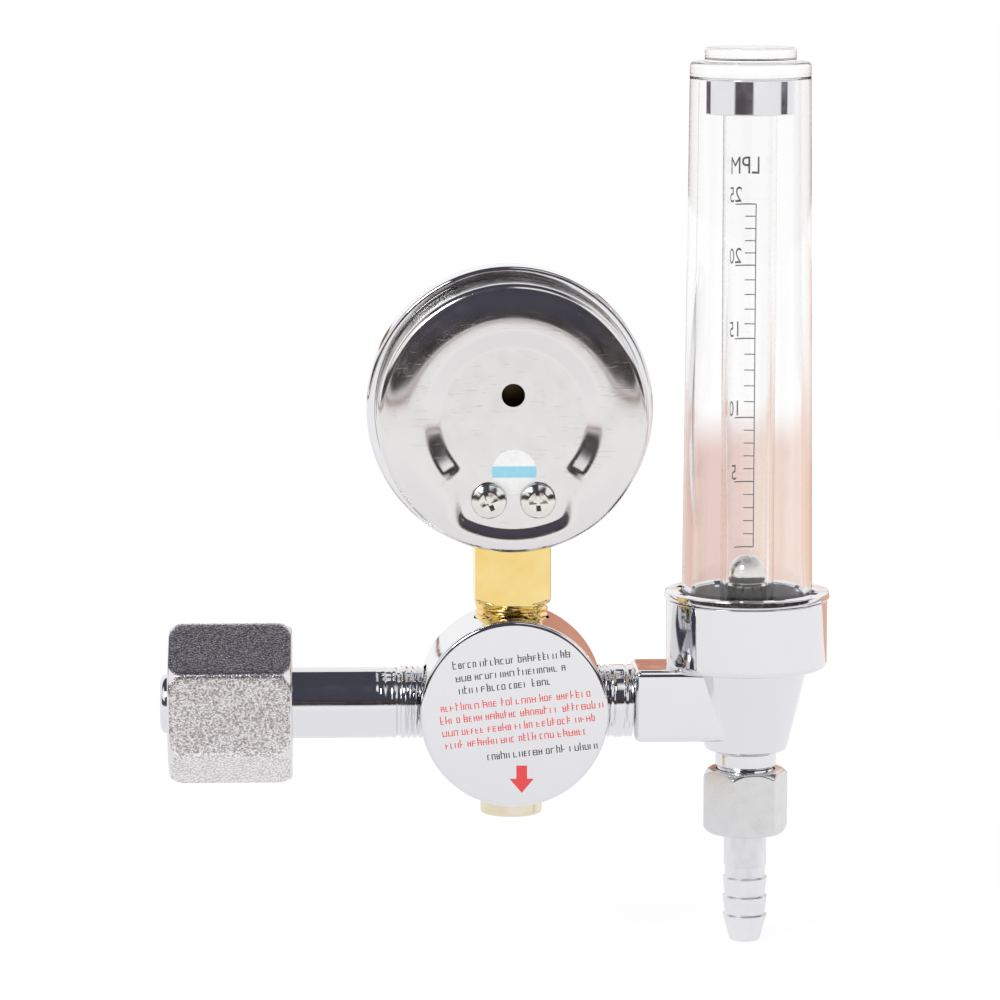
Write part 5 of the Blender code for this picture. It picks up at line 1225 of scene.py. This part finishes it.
def flowmeter_body():
    """One casting: cup, cone, square arm and valve boss."""
    profile = rounded(
        (0, CUP_TOP), (CUP_R, CUP_TOP, EDGE), (CUP_R, CUP_BOTTOM, CUP_ROUND),
        (CONE_TOP_R, CUP_BOTTOM, SOFT), (CONE_BOTTOM_R, CONE_BOTTOM, CONE_ROUND), (0, CONE_BOTTOM),
        parts=8,
    )
    body = lathe("cast_flowmeter_body", profile, "Z", METER, "chrome", 288)
    deep, tall = ARM_DEPTH / 2, ARM_HEIGHT / 2
    arm = brick("arm", (ARM_X, -deep, -tall), (FLOW_X, deep, tall), "chrome", ARM_ROUND, 6)
    profile = rounded((0, 0), (BOSS_R, 0), (BOSS_R, BOSS_FRONT, SOFT), (0, BOSS_FRONT))
    carve(body, [arm, lathe("boss", profile, "Y", METER, "chrome", 128)], "UNION")
    tube = TUBE_R + SEAT
    cup = [(0, CUP_TOP + PAST), (CUP_BORE_R, CUP_TOP + PAST), (CUP_BORE_R, CUP_FLOOR_Z)]
    cup += [(tube, CUP_FLOOR_Z), (tube, TUBE_RECESS_Z), (0, TUBE_RECESS_Z)]
    cutters = [
        lathe("cup_bore", cup, "Z", METER, None, 192),
        rod("arm_port", "X", METER, NIPPLE_TAIL_R + SEAT, -0.03, ARM_X + NIPPLE_TAIL - FLOW_X),
        rod("valve_bore", "Y", METER, GLAND_THREAD_R + SEAT, VALVE_BORE_Y, BOSS_FRONT + PAST),
        rod("outlet_bore", "Z", METER, ADAPTER_TOP_THREAD_R + SEAT, CONE_BOTTOM - PAST, OUTLET_BORE_Z),
    ]
    carve(body, cutters)
    # The cup's bore gets a pale matt material, painted light in place of its plated shine
    second_look(body, "machined_chrome", within_bore(CUP_BORE_R, TUBE_RECESS_Z - HAIR, OUTSIDE))
    dress(body, "chrome", "flowmeter_body")


def cover_ring():
    """Ring nut with spanner notches round its bore."""
    bore = COVER_BASE_R + SEAT
    step = FLANGE_TOP + SEAT
    foot_r = CUP_BORE_R - SEAT
    profile = rounded(
        (bore, RING_HIGH, RING_BEVEL), (RING_R - 0.00016, RING_HIGH, EDGE),
        (RING_R, RING_LOW + FINE, FINE),
        (RING_R - HAIR, RING_LOW, HAIR), (foot_r, RING_LOW), (foot_r, step), (bore, step),
        parts=5,
    )
    ring = lathe("notched_ring_nut", profile, "Z", METER, "chrome", 256)
    half = RING_NOTCH_WIDTH / 2
    low, high = RING_HIGH - RING_NOTCH_DEPTH, RING_HIGH + PAST
    cutters = []
    for i in range(RING_NOTCHES):
        notch = brick("notch", (bore - PAST, -half, low), (bore + RING_NOTCH_REACH, half, high))
        notch.location = METER
        notch.rotation_euler = (0, 0, 2 * pi * (i + 0.5) / RING_NOTCHES)
        cutters.append(notch)
    carve(ring, cutters)
    # The ring's bore gets the same pale matt material, painted light in place of its plated shine
    second_look(ring, "machined_chrome", within_bore(bore, -OUTSIDE, RING_HIGH - RING_BEVEL))
    dress(ring, "chrome", "cover_ring")


def clear_cover():
    flange_r = CUP_BORE_R - SEAT
    profile = rounded(
        (0, COVER_KNOB_TOP), (COVER_KNOB_R, COVER_KNOB_TOP, COVER_EDGE), (COVER_KNOB_R, COVER_TOP, SOFT),
        (COVER_TOP_R, COVER_TOP, 0.0009), (COVER_TOP_R, ROOF_Z), (COVER_BASE_R, FLANGE_TOP, EDGE),
        (flange_r, FLANGE_TOP, FINE), (flange_r, COVER_Z, FINE), (COVER_BASE_R - COVER_WALL, COVER_Z, FINE),
        (COVER_TOP_R - COVER_WALL, ROOF_Z, 0.0008), (0, ROOF_Z),
        parts=6,
    )
    turned("moulded_clear_cover", "outer_cover", "clear_plastic", profile, "Z", METER, 192)


def metering_tube():
    """Tapered tube, its ball seat, the ball and the bright bush at the top."""
    profile = rounded(
        (TUBE_BORE_TOP_R, TUBE_TOP, HAIR), (TUBE_R, TUBE_TOP, HAIR), (TUBE_R, TUBE_Z, HAIR),
        (TUBE_BORE_LOW_R, TUBE_Z), (TUBE_BORE_LOW_R, BALL_SEAT_TOP),
    )
    turned("tapered_metering_tube", "metering_tube", "clear_plastic", profile, "Z", METER)
    rim = TUBE_BORE_LOW_R - SEAT
    lip = rim - BALL_SEAT_LIP
    throat = BALL_SEAT_BORE_R
    profile = [(rim, BALL_SEAT_TOP), (rim, TUBE_Z), (throat, TUBE_Z)]
    profile += [(throat, BALL_SEAT_TOP - (lip - throat)), (lip, BALL_SEAT_TOP)]
    turned("turned_ball_seat", "ball_seat", "brass", profile, "Z", METER, 96, "steel")
    turns = [pi * i / 32 - pi / 2 for i in range(33)]
    profile = [(BALL_R * cos(turn), BALL_R * sin(turn)) for turn in turns]
    turned("polished_ball", "float_ball", "steel", profile, "Z", (FLOW_X, 0, BALL_Z), 64, body="float")
    grip = BUSH_LOW + BUSH_GRIP
    profile = rounded(
        (BUSH_BORE_R, BUSH_HIGH), (BUSH_R, BUSH_HIGH, EDGE), (BUSH_R, BUSH_LOW, EDGE),
        (TUBE_R + SEAT, BUSH_LOW), (TUBE_R + SEAT, grip), (BUSH_BORE_R, grip),
    )
    turned("turned_tube_bush", "tube_bush", "chrome", profile, "Z", METER)


def on_tube(side, height):
    """Point on the front of the metering tube, side metres round it and seen from behind."""
    radius = TUBE_R + PRINT_LIFT
    turn = side / radius
    return Vector((FLOW_X + radius * sin(turn), radius * cos(turn), height))


def tube_patch(bm, side_low, side_high, low, high):
    """Printed rectangle wrapped on the tube."""
    parts = max(1, round(abs(side_high - side_low) / 0.0004))
    for i in range(parts):
        first = side_low + (side_high - side_low) * i / parts
        second = side_low + (side_high - side_low) * (i + 1) / parts
        corners = [(first, low), (second, low), (second, high), (first, high)]
        bm.faces.new([bm.verts.new(on_tube(*corner)) for corner in corners])


def flow_scale():
    """Ticks, figures and unit printed on the front of the metering tube."""
    bm = bmesh.new()
    half = SCALE_STROKE / 2
    marks = [SCALE_BOTTOM] + sorted(SCALE_HEIGHTS.values())
    tube_patch(bm, SCALE_LINE - half, SCALE_LINE + half, SCALE_BOTTOM, marks[-1])
    for mark in marks:
        tube_patch(bm, SCALE_MAJOR, SCALE_LINE, mark - half, mark + half)
    for first, second in zip(marks, marks[1:]):
        for i in range(1, 5):
            height = first + (second - first) * i / 5
            tube_patch(bm, SCALE_MINOR, SCALE_LINE, height - half * 0.8, height + half * 0.8)
    for figure, height in SCALE_HEIGHTS.items():
        up = height + SCALE_FIGURE_ABOVE
        letters(bm, str(figure), SCALE_FIGURE, 0.92, lambda x, y: on_tube(SCALE_FIGURE_SIDE - x, up + y))
    letters(bm, "LPM", SCALE_UNIT, 0.88, lambda x, y: on_tube(SCALE_UNIT_SIDE - x, SCALE_UNIT_Z + y))
    bmesh.ops.remove_doubles(bm, verts=bm.verts, dist=1e-6)
    dress(made("flow_scale_print", bm, "scale_ink"), "black_enamel")


# Needle valve


def needle_valve():
    """Hex gland with a turned front edge and a threaded foot."""
    corner = GLAND_FLATS / sqrt(3)
    bore = NEEDLE_R + SEAT

    def shape(angle, radius, along):
        if radius < OUTSIDE / 2:
            return radius
        cone = GLAND_FLATS * 0.49 + (GLAND_HIGH - along) * 1.6
        return soft_least(polygon_reach(angle, 6, GLAND_FLATS, pi / 6, 60), min(cone, 2 * corner))

    profile = [(bore, GLAND_HIGH)]
    profile += stretch(OUTSIDE, GLAND_HIGH, GLAND_LOW, (GLAND_HIGH - GLAND_LOW) / 16)
    profile += [(GLAND_THREAD_R, GLAND_LOW), (GLAND_THREAD_R, GLAND_THREAD_END), (bore, GLAND_THREAD_END)]
    turned("hex_gland", "needle_gland", "brass", profile, "Y", METER, 144, shape=shape, sharp=35)


def flow_knob():
    """Fluted black knob with its screw in a pocket."""

    def shape(angle, radius, along):
        if radius < KNOB_R * 0.85:
            return radius
        near = min(along - KNOB_LOW, KNOB_HIGH - along)
        fade = min(1.0, max(0.0, near / 0.0012))
        wave = (0.5 - 0.5 * cos(KNOB_FLUTES * angle)) ** 1.6
        return radius - KNOB_FLUTE_DEPTH * fade * wave

    bore, screw_hole = NEEDLE_R + SEAT, KNOB_SCREW_R + SEAT
    profile = rounded(
        (bore, KNOB_LOW), (KNOB_R, KNOB_LOW, 0.0008), (KNOB_R, KNOB_HIGH, 0.0012),
        (KNOB_POCKET_R, KNOB_HIGH, 0.0004), (KNOB_POCKET_R, KNOB_POCKET_Y, FINE),
        (screw_hole, KNOB_POCKET_Y), (screw_hole, KNOB_WEB_Y), (bore, KNOB_WEB_Y),
        parts=6,
    )
    split = next(i for i, point in enumerate(profile) if point[1] > 0.5 * (KNOB_LOW + KNOB_HIGH))
    sides = stretch(KNOB_R, profile[split - 1][1], profile[split][1], 0.0006)
    profile = profile[: split - 1] + sides + profile[split + 1 :]
    fluted = {"shape": shape, "sharp": 35}
    turned("fluted_knob", "flow_knob", "black_plastic", profile, "Y", METER, 256, None, "knob", **fluted)
    low, high = (corner.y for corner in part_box("knob_screw"))
    head_low = high - KNOB_SCREW_HEAD
    profile = rounded(
        (0, low), (KNOB_SCREW_R, low), (KNOB_SCREW_R, head_low), (KNOB_SCREW_HEAD_R, head_low, HAIR),
        (KNOB_SCREW_HEAD_R * 0.9, high - KNOB_SCREW_HEAD * 0.25, SOFT), (0, high),
    )
    screw = lathe("knob_cap_screw", profile, "Y", METER, "steel", 64)
    cutters = []
    for turn in (0.0, pi / 2):
        wing = brick("wing", (-0.0013, -0.0006, -0.0003), (0.0013, 0.0006, 0.0003))
        wing.location = (FLOW_X, high, 0)
        wing.rotation_euler = (0, turn + 0.5, 0)
        cutters.append(wing)
    carve(screw, cutters, sharp=30)
    dress(screw, "steel", "knob_screw", body="knob")


# Outlet


def outlet_adapter():
    low, high = (corner.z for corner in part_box("outlet_adapter"))
    seat = CONE_BOTTOM - SEAT
    neck = ADAPTER_NECK_LOW
    profile = rounded(
        (ADAPTER_BORE_R, high), (ADAPTER_TOP_THREAD_R, high), (ADAPTER_TOP_THREAD_R, seat),
        (ADAPTER_R, seat, 0.0004), (ADAPTER_R, neck, 0.0004), (ADAPTER_THREAD_R, neck),
    )
    profile = profile[:-1] + stretch(ADAPTER_THREAD_R, neck, low) + [(ADAPTER_BORE_R, low)]
    thread = ripple(low, neck, ADAPTER_THREAD_R * 0.999, 0.001, 0.0004)

    def shape(angle, radius, along):
        return thread(angle, radius, along) if radius < ADAPTER_R * 0.97 else radius

    turned("turned_adapter", "outlet_adapter", "chrome", profile, "Z", METER, 128, shape=shape, sharp=30)


def outlet_nut():
    length = OUTLET_NUT_TOP - OUTLET_NUT_BASE
    hole, wide = TAIL_R + SEAT, ADAPTER_THREAD_R + SEAT
    bore = [(wide, length), (wide, OUTLET_NUT_FLOOR), (hole, OUTLET_NUT_FLOOR), (hole, 0.0)]
    at = (FLOW_X, 0, OUTLET_NUT_BASE)
    sizes = (OUTLET_NUT_FLATS, length, OUTLET_NUT_END_R, OUTLET_NUT_CHAMFER)
    looks = ("satin_nickel", "satin_nickel")
    hexagon("outlet_nut", "Z", at, *sizes, radians(OUTLET_NUT_TURN), bore, looks)


def hose_tail():
    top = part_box("hose_tail")[1].z
    plain_low = OUTLET_NUT_BASE - TAIL_PLAIN
    head_low = top - TAIL_HEAD
    corners = [
        (TAIL_BORE_R, top, FINE), (TAIL_HEAD_R, top, EDGE), (TAIL_HEAD_R, head_low, FINE),
        (TAIL_R, head_low), (TAIL_R, plain_low, FINE), (TAIL_NECK_R, plain_low - FINE, FINE),
    ]
    for i in range(TAIL_BARBS):
        barb = plain_low - TAIL_NECK - i * TAIL_BARB_PITCH
        corners += [(TAIL_NECK_R, barb, HAIR), (TAIL_BARB_R, barb - TAIL_BARB_STEP, 0.00012)]
    corners += [(TAIL_TIP_R, barb - TAIL_TIP, EDGE), (TAIL_BORE_R, barb - TAIL_TIP, FINE)]
    turned("barbed_tail", "hose_tail", "aluminium", rounded(*corners), "Z", METER)


# Print on the body


def greeked_row(bm, rng, start, end, height):
    """Row of small strokes in word-like groups, too plain to read as letters."""
    side = start
    stroke, tall = LETTER_STROKE, LETTER_HEIGHT
    away, lean = cos(PRINT_TILT), sin(PRINT_TILT)

    def put(across, up):
        x = across * away - up * lean
        z = across * lean + up * away
        return Vector((BODY_X + x, -BODY_BACK - PRINT_LIFT / 2, z))

    def bar(left, right, low, high):
        points = [put(left, low), put(right, low), put(right, high), put(left, high)]
        slab(bm, points, Vector((0, -PRINT_LIFT, 0)))

    while side < end:
        for letter in range(rng.randint(3, 8)):
            wide = rng.uniform(*LETTER_WIDTHS)
            if side + wide > end:
                return
            top = height + tall * rng.choice((0.66, 0.66, 0.66, 1.0))
            bar(side, side + stroke, height, top)
            if rng.random() < 0.62:
                bar(side + wide - stroke, side + wide, height, height + tall * 0.66)
            for level in (0.0, 0.33, 0.6):
                if rng.random() < 0.45:
                    low = height + tall * level
                    bar(side + stroke, side + wide - stroke, low, low + stroke * 0.7)
            side += wide + LETTER_GAP
        side += WORD_GAP


def body_print():
    """Rows of greeked print and a plain red arrow on the flat back of the body."""
    rng = random.Random(7)
    black = bmesh.new()
    greeked_row(black, rng, -0.0126, 0.0146, 0.0116)
    greeked_row(black, rng, -0.0122, 0.0126, 0.0087)
    greeked_row(black, rng, -0.0118, 0.0096, 0.0059)
    greeked_row(black, rng, -0.007, 0.0178, -0.0096)
    dress(made("body_print_black", black, "black_ink"), "black_enamel")
    red = bmesh.new()
    greeked_row(red, rng, -0.0162, 0.0186, 0.0023)
    greeked_row(red, rng, -0.0166, 0.02, -0.0005)
    greeked_row(red, rng, -0.0164, 0.0186, -0.0033)
    greeked_row(red, rng, -0.016, 0.0162, -0.0061)
    middle = Vector((BODY_X + 0.0016, -BODY_BACK - PRINT_LIFT / 2, -0.0115))
    shaft, barb, neck, tip = 0.0012, 0.0027, -0.003, -0.0062
    outline = [(-shaft, 0.0), (shaft, 0.0), (shaft, neck), (barb, neck), (0.0, tip)]
    outline += [(-barb, neck), (-shaft, neck)]
    slab(red, [middle + Vector((x, 0, z)) for x, z in outline], Vector((0, -PRINT_LIFT, 0)))
    dress(made("body_print_red", red, "red_ink"), "black_enamel")


# Stage, light and camera


class Sums:
    """Adds maths nodes to the node tree of one material or of the world."""

    def __init__(self, owner):
        self.owner = owner

    def node(self, kind, inputs=None, **settings):
        return add_node(self.owner, kind, inputs, **settings)

    def maths(self, operation, first, second=None):
        inputs = {0: first} if second is None else {0: first, 1: second}
        return self.node("Math", inputs, operation=operation).outputs[0]

    def times(self, first, *others):
        for other in others:
            first = self.maths("MULTIPLY", first, other)
        return first

    def rest(self, share):
        """What is left of 1."""
        return self.maths("SUBTRACT", 1.0, share)

    def smooth(self, value, low, high):
        inputs = {"Value": value, "From Min": low, "From Max": high}
        return self.node("MapRange", inputs, interpolation_type="SMOOTHSTEP").outputs["Result"]

    def band(self, value, low, high, soft):
        """1 between two limits, with soft ends."""
        rise = self.smooth(value, low - soft, low + soft)
        return self.times(rise, self.smooth(value, high + soft, high - soft))

    def blend(self, share, first, second):
        """Colour between two colours."""
        inputs = {0: share}
        for i, value in ((6, first), (7, second)):
            inputs[i] = (*value, 1) if isinstance(value, tuple) else value
        return self.node("Mix", inputs, data_type="RGBA").outputs[2]

    def mix(self, share, first, second):
        """Shader between two shaders."""
        return self.node("MixShader", {0: share, 1: first, 2: second}).outputs[0]

    def glow(self, colour, strength=1.0):
        return self.node("Emission", {"Color": colour, "Strength": strength}).outputs[0]

    def place(self, kind):
        """The three parts of a place and the place itself."""
        whole = self.node("TexCoord").outputs[kind]
        parts = self.node("SeparateXYZ", {0: whole}).outputs
        return parts["X"], parts["Y"], parts["Z"], whole

    def around(self, across, depth):
        """Angle round the upright axis, from straight back."""
        return self.maths("ARCTAN2", across, self.times(depth, -1.0))

    def shares(self):
        """Shares for the camera's and clear rays, rays off bare metal, off anything under plastic,
        and twice through the cover."""
        path = self.node("LightPath").outputs
        seen = self.maths("MAXIMUM", path["Is Camera Ray"], path["Is Transmission Ray"])
        bounced = self.maths("MINIMUM", path["Glossy Depth"], 1.0)
        passed = self.maths("MINIMUM", path["Transmission Depth"], 1.0)
        apart = self.maths("ABSOLUTE", self.maths("SUBTRACT", path["Transmission Depth"], 4.0))
        in_cover = self.rest(self.maths("MINIMUM", apart, 1.0))
        return seen, self.times(bounced, self.rest(passed)), self.times(bounced, passed), in_cover


def sums_for(owner):
    """Empties the owner's node tree and gives the helper for it."""
    owner.use_nodes = True
    owner.node_tree.nodes.clear()
    return Sums(owner)


def studio():
    """White world whose dark upper front and light panels show only in polished metal."""
    world = bpy.data.worlds.new("studio")
    bpy.context.scene.world = world
    sums = sums_for(world)
    smooth, times, blend = sums.smooth, sums.times, sums.blend
    across, depth, height, place = sums.place("Generated")
    around = sums.around(across, depth)
    back = radians(40)
    lean = sums.maths("ADD", times(depth, -cos(back)), times(height, sin(back)))
    dark = times(smooth(height, 0.0, 0.03), smooth(lean, -0.03, 0.05))
    soft = 0.05
    for left, right, low, high in ((38, 100, 0.28, 0.77), (-100, -40, 0.28, 0.72), (5, 45, 0.7, 0.9)):
        sideways = sums.band(around, radians(left), radians(right), soft)
        dark = times(dark, sums.rest(times(sideways, sums.band(height, low, high, soft))))
    specks = sums.node("TexNoise", {"Scale": 30.0, "Vector": place}).outputs["Fac"]
    glints = times(sums.rest(smooth(height, 0.15, 0.35)), smooth(specks, 0.62, 0.68))
    dark = times(dark, sums.rest(times(glints, 0.6)))
    gloom = blend(smooth(height, 0.1, 0.45), (0.045, 0.035, 0.035), (0.062, 0.062, 0.085))
    plastic_view = blend(smooth(height, 0.3, 0.8), (0.97, 0.96, 0.98), (0.6, 0.58, 0.62))
    seen, metal, plastic, _ = sums.shares()
    base = blend(seen, (0.82, 0.82, 0.82), WHITE)
    colour = blend(plastic, blend(metal, base, blend(dark, WHITE, gloom)), plastic_view)
    background = sums.node("Background", {"Color": colour}).outputs[0]
    sums.node("OutputWorld", {0: background})


def stage_sheet(name, corners, material):
    """Flat stage object from its corners."""
    bm = bmesh.new()
    bm.faces.new([bm.verts.new(corner) for corner in corners])
    sheet = made(name, bm, None)
    sheet.data.materials.append(material)
    return sheet


def floor():
    """Large pale floor that renders white, keeps a soft shadow and ends in the dark for metal. What metal
    and clear plastic see of it is a little darker near the object, as painted shade.
    """
    material = bpy.data.materials.new("floor")
    sums = sums_for(material)
    smooth, times, blend = sums.smooth, sums.times, sums.blend
    across, depth, _, place = sums.place("Object")
    seen, metal, plastic, in_cover = sums.shares()
    matt = sums.node("BsdfDiffuse", {"Color": (0.88, 0.88, 0.88, 1)}).outputs[0]
    shown = sums.mix(seen, matt, sums.mix(0.8, matt, sums.glow((*WHITE, 1), 1.08)))
    length = sums.node("VectorMath", {0: place}, operation="LENGTH").outputs["Value"]
    around = sums.around(sums.maths("SUBTRACT", across, FLOW_X), depth)
    # Painted shade: the floor that metal and clear plastic see is a little darker near the object
    near = blend(smooth(length, 0.05, 0.5), (0.92, 0.92, 0.94), WHITE)
    bands = None
    for left, right in ((-45, 2), (78, 102), (-180, -126)):
        band = sums.band(around, radians(left), radians(right), 0.06)
        bands = sums.maths("MAXIMUM", bands, band) if bands else band
    gap = times(smooth(length, 1.0, 1.15), bands, in_cover)
    metal_floor = blend(smooth(length, 2.3, 2.5), near, (0.2, 0.09, 0.06))
    plastic_floor = blend(gap, near, (0.05, 0.035, 0.045))
    shine = sums.glow(blend(plastic, metal_floor, plastic_floor))
    surface = sums.mix(sums.maths("ADD", metal, plastic), shown, shine)
    sums.node("OutputMaterial", {0: surface})
    half = FLOOR_HALF
    corners = [(x * half, y * half, FLOOR_Z) for x, y in ((-1, -1), (1, -1), (1, 1), (-1, 1))]
    stage_sheet("floor", corners, material)


def warm_wall():
    """Peach wall behind the flowmeter that only metal and clear plastic show."""
    material = bpy.data.materials.new("warm_wall")
    sums = sums_for(material)
    smooth, times = sums.smooth, sums.times
    across, _, height, _ = sums.place("Object")
    _, metal, plastic, _ = sums.shares()
    through = sums.rest(sums.maths("ADD", metal, plastic))
    on_metal = times(metal, smooth(across, 0.08, 0.085), smooth(height, 0.074, 0.069))
    on_plastic = times(plastic, smooth(height, 0.05, 0.0), 0.7)
    behind = times(through, smooth(height, 0.03, 0.014), 0.62)
    share = sums.maths("ADD", on_metal, sums.maths("ADD", on_plastic, behind))
    colour = sums.blend(smooth(across, 0.12, 0.22), (0.6, 0.27, 0.18), (0.8, 0.5, 0.37))
    clear = sums.node("BsdfTransparent").outputs[0]
    sums.node("OutputMaterial", {0: sums.mix(share, clear, sums.glow(colour))})
    low, high = FLOOR_Z, WALL_TOP
    left, right = WALL_SPAN
    corners = [(x, WALL_Y, z) for x, z in ((left, low), (right, low), (right, high), (left, high))]
    sheet = stage_sheet("warm_wall", corners, material)
    sheet.visible_camera = False
    sheet.visible_diffuse = False
    sheet.visible_shadow = False


def aimed(name, data, at, towards):
    """Object at one point that looks at another."""
    obj = linked(name, data)
    obj.location = at
    obj.rotation_euler = (Vector(towards) - Vector(at)).to_track_quat("-Z", "Y").to_euler()
    return obj


def key_light():
    data = bpy.data.lights.new("key", "AREA")
    data.shape = "DISK"
    data.size = KEY_SIZE
    data.energy = KEY_POWER
    aimed("key", data, KEY_AT, KEY_TARGET)


def camera():
    data = bpy.data.cameras.new("camera")
    data.lens = CAMERA_LENS
    data.sensor_width = 36.0
    bpy.context.scene.camera = aimed("camera", data, CAMERA_AT, CAMERA_TARGET)
    bpy.context.scene.view_settings.view_transform = "Standard"


MATERIALS = (
    chrome, forged_nickel, turned_nickel, satin_nickel, pressed_steel, brass, aged_brass, pale_brass,
    aluminium, steel, clear_plastic, window, black_plastic, rubber, pale_seal, machined_chrome, enamels,
)
PIECES = (
    dress_cad_nodes, springs_and_diaphragm, inlet_nut, inlet_stem, regulator_body, bonnet, safety_valve,
    gauge_socket, gauge_case, case_screws, gauge_bezel, gauge_dial, gauge_pointer, sticker,
    outlet_nipple, flowmeter_body, cover_ring, clear_cover, metering_tube, flow_scale,
    needle_valve, flow_knob, outlet_adapter, outlet_nut, hose_tail, body_print,
)
STAGE = (camera, studio, floor, warm_wall, key_light)

for step in MATERIALS + PIECES + STAGE:
    step()
